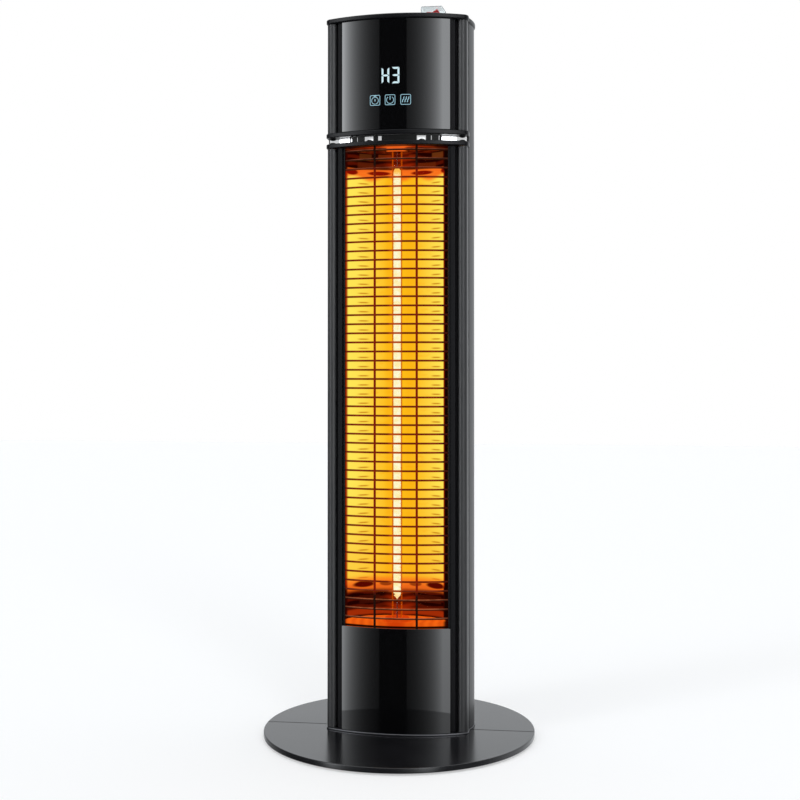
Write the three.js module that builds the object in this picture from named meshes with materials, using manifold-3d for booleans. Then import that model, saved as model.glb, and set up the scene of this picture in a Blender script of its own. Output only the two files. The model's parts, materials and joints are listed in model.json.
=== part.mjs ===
// Infrared patio heater tower: a black column with a curved front on a round two-piece base.
// Millimetres, +Z up, front towards -Y, origin on the floor under the centre of the base.
import * as THREE from "three";
import { mergeVertices } from "three/addons/utils/BufferGeometryUtils.js";
import Module from "manifold-3d";

// ---- clearances
const SEAT = 0.3; // between two pieces that rest on each other
const FIT = 0.35; // round a shank, a tube or a sleeve in its hole
const CUT = 1; // how far a cutting tool runs past the faces it cuts

// ---- base
const BASE_R = 166;
const BASE_T = 6.5;
const BASE_EDGE = 0.9; // chamfer of the plate's rim
const BASE_SEAM = 0.6; // gap between the two half plates
const PAD_R = 11;
const PAD_T = 1.7;
const PAD_IN = 20; // from the rim to the centre of a rubber pad
const PAD_ANGLES = [30, 90, 150];

// ---- column, plan view
const FRONT_Y = -41; // foremost line of the curved glass
const FRONT_R = 200; // radius of the curved front
const BEAD_R = 6.4; // rounded outer bead of a corner post
const BEAD_X = 80;
const WALL = 1.6; // wall of the extruded posts
const GLASS_HALF = 66.2; // half width of the glass panels
const GLASS_T = 4;
const LEDGE_X = 63.2; // inner edge of the ledge behind the glass
const STRIP_SINK = 2.2; // how far the flat strip beside the glass lies back
const STRIP_END = 71.2;
const GROOVE = 1.2; // shadow groove between strip and bead
const SHELL_T = 1.6; // wall of the rear shell
const SHELL_FRONT_Y = -5.5; // front edge of the rear shell
const SHELL_PROUD = 0.5; // the shell stands this far outside the posts
const SHELL_FLARE = 4.1; // the shell is this much wider at its widest than at its front edge
const SHELL_WIDE_Y = 20;
const SHELL_BACK_Y = 54;
const SHELL_FLAT = 56; // half width of the flat back
const BEAD_START = 195; // direction, in degrees, in which the groove runs into the bead
const TONGUE = 13; // depth of the post's tongue inside the shell

// ---- column, heights
const FOOT_T = 1.6;
const FOOT_PROUD = 0.8;
const BODY_H = 708.5; // length of the lower corner posts
const PLATE_T = 5.5; // plates above and below the neck
const PLATE_PROUD = 1.6;
const PLATE_EDGE = 1.1;
const NECK_H = 7.4; // open height between the two plates
const HEAD_H = 134.3; // length of the head's corner posts
const CAP_T = 6;
const CAP_PROUD = 1.5;
const CAP_EDGE = 1.7;
const CAP_HOLLOW = 3.4;
const LOWER_GLASS_H = 126;

// ---- neck
const BAND_IN = 11; // the bright band lies this far behind the curved front
const BAND_T = 1.2;
const BAND_HALF = 71; // where the band turns back to pass behind the corner screws
const BAND_END = 1.6; // the band ends this far inside the posts' outline
const COMB_HALF = 56;
const COMB_IN = 2; // comb behind the curved front
const COMB_T = 2.4;
const COMB_RAIL = 1; // rail above the comb's windows
const COMB_WINDOWS = [[-37.5, 11], [-20.6, 4.4], [26.5, 11]]; // left edge and width
const COMB_SLITS = [-54.4, -46.8, 43.8, 53];
const SLIT_W = 1;
const NECK_SCREW_X = 32;
const NECK_SCREW_R = 3.8;
const DOME_R = 4.2;
const DOME_H = 2.5;

// ---- wire guard
const WIRE_R = 0.75;
const UPRIGHT_R = 1;
const WIRE_PITCH = 11.13;
const WIRE_FIRST = 10.6; // lowest wire above the lower glass
const WIRE_LAST = 4.2; // least room above the highest wire
const WIRE_SINK = 0.35; // depth of a weld
const UPRIGHT_X = 25.7;
const GUARD_HALF = 65.2;
const UPRIGHT_DOWN = 7; // uprights reach this far behind the lower glass

// ---- heating insert
const REFLECTOR_T = 0.8;
const REFLECTOR_FOLDS = [[62.6, -13.5], [52, 0.5], [38, 9.5], [21, 14.5], [7, 16], [0, 12.8]];
const REFLECTOR_MOUTH = [64.6, -19.2]; // bend between the trough and its side flange
const DECK_UP = 4.6; // bottom deck above the lower glass
const DECK_T = 0.8;
const DECK_LIP = 12;
const DECK_HALF = 68;
const DECK_BACK_Y = 22;
const TUBE_Y = -18;
const TUBE_R = 6.3;
const TUBE_WALL = 1;
const TUBE_OUT = 9; // length of the tube beyond each end plate
const COLLAR_R = 15;
const COLLAR_H = 4.5;
const CERAMIC_R = 10;
const CERAMIC_H = 24; // lower ceramic cap
const CERAMIC_HOLE = 1.8;
const COIL_R = 3.7;
const STRAND_R = 1.1;
const COIL_TURNS = 36;
const COIL_LOW = 29.4; // coil above the deck
const COIL_HIGH = 22.4; // coil below the roof plate
const COIL_TURN_IN = 3; // height over which the coil runs in to its straight lead
const SHIELD_T = 0.8;
const SHIELD_IN = 26; // from the back of the shell to the heat shield
const SHIELD_WIDER = 10; // the shield is this much wider than the flat back, each side
const SHIELD_DOWN = 20; // the shield reaches this far behind the lower glass
const SHIELD_FOLD = [2, 10]; // its straight sides, from the front edge of the shell

// ---- electrical pieces
const SLEEVE_R = 4;
const SLEEVE_X = -60;
const SLEEVE_Y = 41;
const SLEEVE_FOOT = 30; // sleeve starts this far above the foot plate
const SLEEVE_HEAD = 50; // and ends this far up in the head
const BOARD_T = 1.6;
const BOARD_W = 116;
const BOARD_H = 92;
const BOARD_Y = 14;
const BRACKET_W = 14;
const BRACKET_D = 26;
const BRACKET_T = 3;
const BRACKET_IN = 9; // bracket centre from the side edge of the board
const TERMINAL_W = 44;
const TERMINAL_D = 18;
const TERMINAL_H = 15;
const TERMINAL_WAYS = 4;
const TERMINAL_Y = 33;
const TILT_W = 22;
const TILT_D = 16;
const TILT_H = 24;
const TILT_X = -24;
const CUTOUT_R = 8;
const CUTOUT_H = 7;
const CUTOUT_X = 18;
const CUTOUT_DOWN = 90; // thermal cut-out below the body top plate
const DISPLAY_W = 60;
const DISPLAY_H = 66;
const DISPLAY_UP = 24; // lower edge of the display board above the head plate
const READOUT_W = 24;
const READOUT_H = 22;
const GLAND_X = 38;
const GLAND_UP = 30; // gland above the foot plate
const GLAND_R = 7;
const CORD_R = 3.6;

// ---- switch on the cap
const SWITCH_X = 44.5;
const SWITCH_Y = -7;
const BEZEL_W = 27.6;
const BEZEL_D = 19.6;
const BEZEL_T = 2;
const HOUSING_W = 25;
const HOUSING_D = 17.6;
const HOUSING_H = 18;
const HINGE_DOWN = 1; // hinge line below the cap's top face
const PIN_R = 1.2;
const PIN_OUT = 1.6; // pins beyond the rocker's sides
const ROCKER_HALF = 10;
const ROCKER_D = 12;
const ROCKER_SWING = 1.4; // room beyond the rocker's ends
const ROCKER_SIDE = 0.5; // room beside the rocker
const ROCKER_HIGH = 10.5; // ends of the rocker above its hinge
const ROCKER_DIP = 2.3; // shallow valley in the rocker's top
const ROCKER_LOW = 5.5;
const ROCKER_TILT = 13; // degrees each way, shown switched on
const BOOT_T = 0.8;
const BOOT_W = 30.6;
const BOOT_D = 22.6;
const BOOT_H = 12.8;
const BOOT_RIM = 1.2;
const BOOT_RUN = 5; // the sloped end runs in by this much
const BOOT_RISE = 5.5; // height where the slope starts

// ---- fasteners and vents
const SCREW_R = 2;
const SCREW_HEAD_R = 3.6;
const SCREW_HEAD_H = 2;
const BASE_SCREW_R = 2.5;
const BASE_SCREW_HEAD_R = 4.6;
const BASE_SCREW_HEAD_H = 3;
const BOSS_R = 6;
const BOSS_H = 9;
const BOSS_X = 52;
const BOSS_Y = 20;
const REAR_SCREW_X = 40;
const REAR_SCREW_L = 9;
const LUG_W = 12;
const LUG_D = 9;
const VENT_W = 34;
const VENT_H = 3;
const VENT_PITCH = 8;
const VENT_X = 24;

// ---- heights that follow
const BASE_TOP = PAD_T + SEAT + BASE_T;
const FOOT_Z = BASE_TOP + SEAT;
const COLUMN_Z = FOOT_Z + FOOT_T + SEAT;
const BODY_PLATE_Z = COLUMN_Z + BODY_H + SEAT;
const NECK_Z = BODY_PLATE_Z + PLATE_T;
const HEAD_PLATE_Z = NECK_Z + NECK_H;
const HEAD_Z = HEAD_PLATE_Z + PLATE_T + SEAT;
const CAP_Z = HEAD_Z + HEAD_H + SEAT;
const CAP_TOP = CAP_Z + CAP_T;
const GLASS_TOP = COLUMN_Z + LOWER_GLASS_H;
const DECK_Z = GLASS_TOP + DECK_UP;
const ROOF_Z = BODY_PLATE_Z - SEAT - DECK_T;
const ARC_Y = FRONT_Y + FRONT_R; // centre of the curved front
const RAD = Math.PI / 180;

const wasm = await Module();
wasm.setup();

// ---- solids: three.js geometry in and out of the boolean kernel
function solid(geometry) {
  const g = geometry.index ? geometry.toNonIndexed() : geometry.clone();
  g.deleteAttribute("normal");
  g.deleteAttribute("uv");
  const m = mergeVertices(g, 1e-4);
  const vertProperties = new Float32Array(m.attributes.position.array);
  const triVerts = new Uint32Array(m.index.array);
  return new wasm.Manifold(new wasm.Mesh({ numProp: 3, vertProperties, triVerts }));
}

function geometryOf(made) {
  const mesh = made.getMesh();
  const g = new THREE.BufferGeometry();
  g.setAttribute("position", new THREE.BufferAttribute(new Float32Array(mesh.vertProperties), 3));
  g.setIndex(new THREE.BufferAttribute(new Uint32Array(mesh.triVerts), 1));
  const flat = g.toNonIndexed();
  flat.computeVertexNormals();
  return flat;
}

const cutAll = (from, tools) => geometryOf(tools.map(solid).reduce((s, t) => s.subtract(t), solid(from)));
const joinAll = (pieces) => geometryOf(wasm.Manifold.union(pieces.map(solid)));

// A closed surface with its faces turned outwards.
function outward(geometry) {
  const g = geometry.index ? geometry.toNonIndexed() : geometry;
  const p = g.attributes.position;
  const [a, b, c] = [new THREE.Vector3(), new THREE.Vector3(), new THREE.Vector3()];
  let volume = 0;
  for (let i = 0; i < p.count; i += 3) {
    b.fromBufferAttribute(p, i + 1).cross(c.fromBufferAttribute(p, i + 2));
    volume += a.fromBufferAttribute(p, i).dot(b);
  }
  if (volume > 0) return g;
  for (let i = 0; i < p.count; i += 3) {
    b.fromBufferAttribute(p, i + 1);
    c.fromBufferAttribute(p, i + 2);
    p.setXYZ(i + 1, c.x, c.y, c.z);
    p.setXYZ(i + 2, b.x, b.y, b.z);
  }
  g.computeVertexNormals();
  return g;
}

// A closed round strand along a list of THREE.Vector3 points.
function strand(points, r, sides) {
  const tangents = points.map((p, i) => {
    const a = points[Math.max(i - 1, 0)];
    const b = points[Math.min(i + 1, points.length - 1)];
    return b.clone().sub(a).normalize();
  });
  let u = new THREE.Vector3(0, 0, 1);
  if (Math.abs(tangents[0].z) > 0.9) u.set(1, 0, 0);
  const xyz = [];
  points.forEach((p, i) => {
    u = u.clone().addScaledVector(tangents[i], -u.dot(tangents[i])).normalize();
    const w = tangents[i].clone().cross(u);
    for (let k = 0; k < sides; k++) {
      const a = (2 * Math.PI * k) / sides;
      const q = p.clone().addScaledVector(u, r * Math.cos(a)).addScaledVector(w, r * Math.sin(a));
      xyz.push(q.x, q.y, q.z);
    }
  });
  const index = [];
  for (let i = 0; i + 1 < points.length; i++)
    for (let k = 0; k < sides; k++) {
      const [a, b] = [i * sides + k, i * sides + ((k + 1) % sides)];
      index.push(a, b, a + sides, b, b + sides, a + sides);
    }
  const last = (points.length - 1) * sides;
  for (let k = 1; k + 1 < sides; k++) {
    index.push(0, k + 1, k);
    index.push(last, last + k, last + k + 1);
  }
  const g = new THREE.BufferGeometry();
  g.setAttribute("position", new THREE.BufferAttribute(new Float32Array(xyz), 3));
  g.setIndex(index);
  return outward(g.toNonIndexed());
}

// ---- plan curves, as lists of [x, y]
const onFront = (radius, x) => ARC_Y - Math.sqrt(radius * radius - x * x);

function arc(cx, cy, r, from, to, steps) {
  const points = [];
  for (let i = 0; i <= steps; i++) {
    const a = (from + ((to - from) * i) / steps) * RAD;
    points.push([cx + r * Math.cos(a), cy + r * Math.sin(a)]);
  }
  return points;
}

function bezier(p, q, r, s, steps) {
  const v = (a) => new THREE.Vector2(a[0], a[1]);
  const curve = new THREE.CubicBezierCurve(v(p), v(q), v(r), v(s));
  return curve.getPoints(steps).map((a) => [a.x, a.y]);
}

const mirrored = (points) => points.map(([x, y]) => [-x, y]).reverse();

// A path moved sideways by d: to the right of its direction where d is positive.
function shifted(points, d, closed) {
  const n = points.length;
  const normal = (a, b) => {
    const l = Math.hypot(b[0] - a[0], b[1] - a[1]);
    return [(b[1] - a[1]) / l, (a[0] - b[0]) / l];
  };
  return points.map((p, i) => {
    const before = closed || i > 0 ? points[(i + n - 1) % n] : null;
    const after = closed || i < n - 1 ? points[(i + 1) % n] : null;
    const u = before ? normal(before, p) : normal(p, after);
    const w = after ? normal(p, after) : u;
    const k = d / (1 + u[0] * w[0] + u[1] * w[1]);
    return [p[0] + k * (u[0] + w[0]), p[1] + k * (u[1] + w[1])];
  });
}

const shapeOf = (points) => new THREE.Shape(points.map(([x, y]) => new THREE.Vector2(x, y)));
const ribbon = (path, t) => [...shifted(path, t / 2), ...shifted(path, -t / 2).reverse()];

// A plan outline raised from z, with an optional rounded or chamfered edge.
function raised(points, z, height, edge = 0, rounds = 1) {
  const g = new THREE.ExtrudeGeometry(shapeOf(points), {
    depth: height - 2 * edge,
    bevelEnabled: edge > 0,
    bevelThickness: edge,
    bevelSize: edge,
    bevelOffset: -edge,
    bevelSegments: rounds,
  });
  return g.translate(0, 0, z + edge);
}

function rod(r, height, x, y, z, sides = 20) {
  const g = new THREE.CylinderGeometry(r, r, height, sides);
  return g.rotateX(Math.PI / 2).translate(x, y, z + height / 2);
}

function block(w, d, h, x, y, z) {
  return new THREE.BoxGeometry(w, d, h).translate(x, y, z + h / 2);
}

// A turned piece about the vertical through x, y: profile of [radius, z].
function turned(profile, x, y, sides = 24) {
  const points = profile.map(([r, z]) => new THREE.Vector2(r, z));
  return outward(new THREE.LatheGeometry(points, sides).rotateX(Math.PI / 2).translate(x, y, 0));
}

// The same about a line along Y through x, z: profile of [radius, y].
function turnedAcross(profile, x, z, sides = 20) {
  const points = profile.map(([r, y]) => new THREE.Vector2(r, y));
  return outward(new THREE.LatheGeometry(points, sides).translate(x, 0, z));
}

// ---- the parts
const heater = new THREE.Group();
heater.name = "infrared_patio_heater";
const looks = {
  satin: [0x1a1b1d, 0.42, 0.3],
  gloss: [0x0b0c0e, 0.08, 0.0],
  plastic: [0x151618, 0.5, 0.0],
  rubber: [0x101010, 0.9, 0.0],
  bright: [0xd9dadb, 0.2, 1.0],
  zinc: [0xa8abad, 0.35, 1.0],
  quartz: [0xe9e4da, 0.05, 0.0],
  glowing: [0xffc04a, 0.6, 0.0],
  ceramic: [0xe8e2d2, 0.7, 0.0],
  red: [0xc8161c, 0.35, 0.0],
  clear: [0xb9c4c0, 0.15, 0.0],
  board: [0x1c4a2c, 0.6, 0.0],
};
const materials = {};
for (const [name, [color, roughness, metalness]] of Object.entries(looks))
  materials[name] = new THREE.MeshStandardMaterial({ name, color, roughness, metalness });
materials.glowing.emissive = new THREE.Color(0xff9a20);

function add(name, geometry, look, parent = heater) {
  const mesh = new THREE.Mesh(geometry, materials[look]);
  mesh.name = name;
  parent.add(mesh);
  return mesh;
}

// ---- plan of the column, right half from the front centre to the back centre
const BEAD_Y = ARC_Y - Math.sqrt((FRONT_R - BEAD_R) ** 2 - BEAD_X ** 2);
const BEAD_TURN = Math.atan2(BEAD_Y - ARC_Y, BEAD_X) / RAD;
const POST_X = BEAD_X + BEAD_R;
const frontHalf = [
  ...arc(0, ARC_Y, FRONT_R, -90, BEAD_TURN, 6),
  ...arc(BEAD_X, BEAD_Y, BEAD_R, BEAD_TURN, 0, 5).slice(1),
  [POST_X, SHELL_FRONT_Y - SEAT],
];
const SHELL_X = POST_X + SHELL_PROUD;
const SHELL_HALF = SHELL_X + SHELL_FLARE;
const WIDE = [SHELL_HALF, SHELL_WIDE_Y];
const FLARE_A = [SHELL_X + 0.6 * SHELL_FLARE, SHELL_FRONT_Y + 8];
const FLARE_B = [SHELL_HALF, SHELL_WIDE_Y - 9];
const BACK_A = [SHELL_HALF, SHELL_WIDE_Y + 0.62 * (SHELL_BACK_Y - SHELL_WIDE_Y)];
const BACK_B = [SHELL_FLAT + 0.62 * (SHELL_HALF - SHELL_FLAT), SHELL_BACK_Y];
const backHalf = [
  ...bezier([SHELL_X, SHELL_FRONT_Y], FLARE_A, FLARE_B, WIDE, 3),
  ...bezier(WIDE, BACK_A, BACK_B, [SHELL_FLAT, SHELL_BACK_Y], 6).slice(1),
];
const shellPath = [...backHalf, ...mirrored(backHalf)];
const columnLoop = [...mirrored(frontHalf).slice(0, -1), ...frontHalf, ...backHalf, ...mirrored(backHalf)];
const shellInside = shifted(shellPath, -(SHELL_T + SEAT));
const frontEdge = (grow) => {
  const half = shifted(frontHalf, grow);
  return [...mirrored(half).slice(0, -1), ...half];
};

// ---- base: two half plates with a seam along X, rubber pads, screws into the foot plate
const bosses = [];
for (const sx of [-1, 1]) for (const sy of [-1, 1]) bosses.push([sx * BOSS_X, sy * BOSS_Y]);
const baseScrewName = ["front_left", "rear_left", "front_right", "rear_right"];

function halfPlate(side) {
  const edge = Math.asin(BASE_SEAM / 2 / BASE_R) / RAD;
  const half = arc(0, 0, BASE_R, edge, 180 - edge, 34);
  const outline = side > 0 ? half : half.map(([x, y]) => [-x, -y]);
  const plate = raised(outline, PAD_T + SEAT, BASE_T, BASE_EDGE, 1);
  const tools = [];
  for (const [x, y] of bosses.filter((b) => b[1] * side > 0)) {
    tools.push(rod(BASE_SCREW_R + FIT, BASE_T + 2 * CUT, x, y, PAD_T + SEAT - CUT, 10));
    const sink = BASE_SCREW_HEAD_H + SEAT;
    tools.push(rod(BASE_SCREW_HEAD_R + FIT, sink + CUT, x, y, PAD_T + SEAT - CUT, 12));
  }
  return cutAll(plate, tools);
}
add("base_front_half", halfPlate(-1), "satin");
add("base_rear_half", halfPlate(1), "satin");
for (const side of [-1, 1])
  PAD_ANGLES.forEach((angle, i) => {
    const ring = BASE_R - PAD_IN;
    const [x, y] = [ring * Math.cos(angle * RAD), side * ring * Math.sin(angle * RAD)];
    const name = `rubber_pad_${side < 0 ? "front" : "rear"}_${["right", "middle", "left"][i]}`;
    add(name, rod(PAD_R, PAD_T, x, y, 0, 16), "rubber");
  });
bosses.forEach(([x, y], i) => {
  const z = PAD_T + SEAT;
  const top = FOOT_Z + FOOT_T + BOSS_H - SEAT;
  const profile = [[0, z], [BASE_SCREW_HEAD_R - 0.6, z], [BASE_SCREW_HEAD_R, z + 0.6]];
  profile.push([BASE_SCREW_HEAD_R, z + BASE_SCREW_HEAD_H], [BASE_SCREW_R, z + BASE_SCREW_HEAD_H]);
  profile.push([BASE_SCREW_R, top], [0, top]);
  add(`base_screw_${baseScrewName[i]}`, turned(profile, x, y, 10), "zinc");
});

// ---- foot plate with four bosses; its rim shows as the fine line under the column
const footPlate = raised(shifted(columnLoop, FOOT_PROUD, true), FOOT_Z, FOOT_T);
const footBosses = bosses.map(([x, y]) => rod(BOSS_R, BOSS_H + FOOT_T, x, y, FOOT_Z, 12));
const lugBack = SHELL_BACK_Y - SHELL_T - SEAT;
const footLugs = [-1, 1].map((s) => {
  return block(LUG_W, LUG_D, BOSS_H + FOOT_T, s * REAR_SCREW_X, lugBack - LUG_D / 2, FOOT_Z);
});
const LUG_Z = FOOT_Z + FOOT_T + BOSS_H / 2;
const across = (r, length, x, y, z, sides) => {
  return new THREE.CylinderGeometry(r, r, length, sides).translate(x, y - length / 2, z);
};
const footHoles = bosses.map(([x, y]) => {
  return rod(BASE_SCREW_R + FIT, BOSS_H + FOOT_T + 2 * CUT, x, y, FOOT_Z - CUT, 10);
});
const rearHole = (length, s, z) => {
  return across(SCREW_R + FIT, length + 2 * CUT, s * REAR_SCREW_X, SHELL_BACK_Y + CUT, z, 8);
};
for (const s of [-1, 1]) footHoles.push(rearHole(REAR_SCREW_L, s, LUG_Z));
add("foot_plate", cutAll(joinAll([footPlate, ...footBosses, ...footLugs]), footHoles), "satin");

// ---- corner posts: ledge behind the glass, sunk strip, groove, bead, tongue into the shell
const LEDGE_R = FRONT_R - GLASS_T - SEAT - WALL / 2;
const STRIP_R = FRONT_R - STRIP_SINK - WALL / 2;
const STEP_X = GLASS_HALF + SEAT + WALL / 2;
const BEAD_MID = BEAD_R - WALL / 2;
const GROOVE_X = BEAD_X - BEAD_R - GROOVE - WALL / 2 + 0.6;
const TONGUE_X = SHELL_X - SHELL_T - SEAT - WALL / 2;
const GROOVE_Y = BEAD_Y + BEAD_MID * Math.sin(BEAD_START * RAD);
const postPath = [
  [LEDGE_X, onFront(LEDGE_R, LEDGE_X)],
  [STEP_X, onFront(LEDGE_R, STEP_X)],
  [STEP_X, onFront(STRIP_R, STEP_X)],
  [STRIP_END, onFront(STRIP_R, STRIP_END)],
  [GROOVE_X, GROOVE_Y],
  ...arc(BEAD_X, BEAD_Y, BEAD_MID, BEAD_START, 360, 10),
  [BEAD_X + BEAD_MID, SHELL_FRONT_Y - SEAT - WALL],
  [TONGUE_X, SHELL_FRONT_Y - SEAT - WALL / 2 + 0.4],
  [TONGUE_X, SHELL_FRONT_Y - SEAT + TONGUE],
];
const postRight = ribbon(postPath, WALL);
const postLeft = postRight.map(([x, y]) => [-x, y]).reverse();
add("lower_post_left", raised(postLeft, COLUMN_Z, BODY_H), "satin");
add("lower_post_right", raised(postRight, COLUMN_Z, BODY_H), "satin");
add("head_post_left", raised(postLeft, HEAD_Z, HEAD_H), "satin");
add("head_post_right", raised(postRight, HEAD_Z, HEAD_H), "satin");

// ---- rear shell: one full-height spine with vents in its flat back
const SHELL_H = CAP_Z - SEAT - COLUMN_Z;
const shellBody = raised(ribbon(shifted(shellPath, -SHELL_T / 2), SHELL_T), COLUMN_Z, SHELL_H);
const rearScrewZ = [LUG_Z, BODY_PLATE_Z + PLATE_T / 2, HEAD_PLATE_Z + PLATE_T / 2];
const rearCuts = [];
const ventRows = [[COLUMN_Z + 60, 5], [BODY_PLATE_Z - 140, 6], [HEAD_Z + 34, 5]];
const ventY = SHELL_BACK_Y - SHELL_T / 2;
const vent = (side, z) => block(VENT_W, SHELL_T + 2 * CUT, VENT_H, side * VENT_X, ventY, z);
for (const side of [-1, 1]) {
  for (const [from, rows] of ventRows)
    for (let i = 0; i < rows; i++) rearCuts.push(vent(side, from + i * VENT_PITCH));
  for (const z of rearScrewZ) rearCuts.push(rearHole(SHELL_T, side, z));
}
const GLAND_Z = FOOT_Z + FOOT_T + GLAND_UP;
rearCuts.push(across(GLAND_R + FIT, SHELL_T + 2 * CUT, GLAND_X, SHELL_BACK_Y + CUT, GLAND_Z, 14));
add("rear_shell", cutAll(shellBody, rearCuts), "satin");

// ---- cable gland low on the back: flange, neck through the shell, nut inside
function gland() {
  const outside = SHELL_BACK_Y + SEAT;
  const inside = SHELL_BACK_Y - SHELL_T - SEAT;
  const profile = [[CORD_R, inside - 5], [GLAND_R + 3.4, inside - 5], [GLAND_R + 3.4, inside]];
  profile.push([GLAND_R, inside], [GLAND_R, outside], [GLAND_R + 3, outside]);
  profile.push([GLAND_R + 3, outside + 4], [GLAND_R - 0.6, outside + 12]);
  profile.push([CORD_R, outside + 12], [CORD_R, inside - 5]);
  return turnedAcross(profile, GLAND_X, GLAND_Z, 14);
}
add("cable_gland", gland(), "plastic");

// ---- plates above and below the neck, the cap
const plateLoop = [...frontEdge(PLATE_PROUD), ...shellInside];
const SLEEVE_HOLE = SLEEVE_R + FIT;
const plateScrews = [-1, 1].map((s) => [s * BEAD_X, BEAD_Y]);

function neckPlate(z, holes) {
  const tools = [rod(SLEEVE_HOLE, PLATE_T + 2 * CUT, SLEEVE_X, SLEEVE_Y, z - CUT, 12)];
  for (const [x, y] of plateScrews) tools.push(rod(SCREW_R + FIT, PLATE_T + 2 * CUT, x, y, z - CUT, 8));
  for (const side of [-1, 1]) tools.push(rearHole(REAR_SCREW_L, side, z + PLATE_T / 2));
  return cutAll(raised(plateLoop, z, PLATE_T, PLATE_EDGE, 1), [...tools, ...holes]);
}
const neckScrewY = onFront(FRONT_R - BAND_IN + BAND_T / 2 + SEAT + NECK_SCREW_R, NECK_SCREW_X);
const neckScrewHole = (z) => [-1, 1].map((s) => {
  return rod(SCREW_R + FIT, PLATE_T + 2 * CUT, s * NECK_SCREW_X, neckScrewY, z - CUT, 8);
});
const ceramicHole = rod(CERAMIC_R + FIT, PLATE_T + 2 * CUT, 0, TUBE_Y, BODY_PLATE_Z - CUT, 16);
add("body_top_plate", neckPlate(BODY_PLATE_Z, [ceramicHole, ...neckScrewHole(BODY_PLATE_Z)]), "satin");
add("head_bottom_plate", neckPlate(HEAD_PLATE_Z, []), "satin");

function topCap() {
  const blank = raised(shifted(columnLoop, CAP_PROUD, true), CAP_Z, CAP_T, CAP_EDGE, 2);
  const hollow = raised(shifted(columnLoop, -4, true), CAP_Z - CUT, CAP_HOLLOW + CUT);
  const w = HOUSING_W + 2 * FIT;
  const d = HOUSING_D + 2 * FIT;
  return cutAll(blank, [hollow, block(w, d, CAP_T + 2 * CUT, SWITCH_X, SWITCH_Y, CAP_Z - CUT)]);
}
add("top_cap", topCap(), "satin");

// ---- neck: bright band that passes behind the corner screws, black comb with windows, screws
const NECK_CLEAR = NECK_H - 2 * SEAT;
const BAND_R = FRONT_R - BAND_IN;
const bandTurn = Math.asin(BAND_HALF / BAND_R) / RAD;
const bandBackY = BEAD_Y + DOME_R + SEAT + BAND_T / 2 + 1;
const bandHalf = [
  ...arc(0, ARC_Y, BAND_R, -90, -90 + bandTurn, 8),
  [BAND_HALF + 1.5, bandBackY],
  [POST_X - BAND_END, bandBackY],
];
const bandPath = [...mirrored(bandHalf).slice(0, -1), ...bandHalf];
add("neck_band", raised(ribbon(bandPath, BAND_T), NECK_Z + SEAT, NECK_CLEAR), "bright");

function neckComb() {
  const radius = FRONT_R - COMB_IN - COMB_T / 2;
  const turn = Math.asin(COMB_HALF / radius) / RAD;
  const plan = ribbon(arc(0, ARC_Y, radius, -90 - turn, -90 + turn, 16), COMB_T);
  const strip = raised(plan, NECK_Z + SEAT, NECK_CLEAR);
  const high = NECK_CLEAR - COMB_RAIL + CUT;
  const windows = [...COMB_WINDOWS, ...COMB_SLITS.map((x) => [x - SLIT_W / 2, SLIT_W])];
  const tools = windows.map(([left, w]) => {
    const x = left + w / 2;
    return block(w, 6 * COMB_T, high, x, onFront(radius, x), NECK_Z + SEAT - CUT);
  });
  return cutAll(strip, tools);
}
add("neck_comb", neckComb(), "plastic");

// A dome screw on a vertical line: dir 1 has its head up, -1 down, seat is the face under the head.
function domeScrew(r, x, y, seat, length, dir) {
  const at = (h) => seat + dir * h;
  const profile = [[0, at(-length)], [SCREW_R, at(-length)], [SCREW_R, at(SEAT)], [r, at(SEAT)]];
  profile.push([r, at(SEAT + 0.7)], [0.62 * r, at(DOME_H)], [0, at(DOME_H)]);
  return turned(profile, x, y, 10);
}
const sideName = (s) => (s < 0 ? "left" : "right");
for (const s of [-1, 1]) {
  const below = domeScrew(DOME_R, s * BEAD_X, BEAD_Y, NECK_Z, PLATE_T + 6, 1);
  const above = domeScrew(DOME_R, s * BEAD_X, BEAD_Y, HEAD_PLATE_Z, PLATE_T + 6, -1);
  add(`body_corner_screw_${sideName(s)}`, below, "plastic");
  add(`head_corner_screw_${sideName(s)}`, above, "plastic");
  const neck = domeScrew(NECK_SCREW_R, s * NECK_SCREW_X, neckScrewY, NECK_Z, PLATE_T - SEAT, 1);
  add(`neck_screw_${sideName(s)}`, neck, "plastic");
  rearScrewZ.forEach((z, i) => {
    const y = SHELL_BACK_Y;
    const h = SCREW_HEAD_H;
    const profile = [[0, y - REAR_SCREW_L], [SCREW_R, y - REAR_SCREW_L], [SCREW_R, y + SEAT]];
    profile.push([SCREW_HEAD_R, y + SEAT], [SCREW_HEAD_R, y + SEAT + 0.4 * h]);
    profile.push([0.6 * SCREW_HEAD_R, y + SEAT + h], [0, y + SEAT + h]);
    const name = `rear_screw_${["foot", "body", "head"][i]}_${sideName(s)}`;
    add(name, turnedAcross(profile, s * REAR_SCREW_X, z, 10), "zinc");
  });
}

// ---- curved glass panels
function glass(z, height) {
  const outer = Math.asin(GLASS_HALF / FRONT_R) / RAD;
  const inner = Math.asin(GLASS_HALF / (FRONT_R - GLASS_T)) / RAD;
  const front = arc(0, ARC_Y, FRONT_R, -90 - outer, -90 + outer, 16);
  const back = arc(0, ARC_Y, FRONT_R - GLASS_T, -90 + inner, -90 - inner, 16);
  return raised([...front, ...back], z, height);
}
add("head_glass", glass(HEAD_Z, HEAD_H), "gloss");
add("lower_glass", glass(COLUMN_Z, LOWER_GLASS_H), "gloss");

// ---- wire guard: curved wires welded to two uprights, their ends behind the ledges of the posts
const GUARD_R = LEDGE_R - WALL / 2 - SEAT - WIRE_R;
const UPRIGHT_RING = GUARD_R - WIRE_R - UPRIGHT_R + WIRE_SINK;

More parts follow.
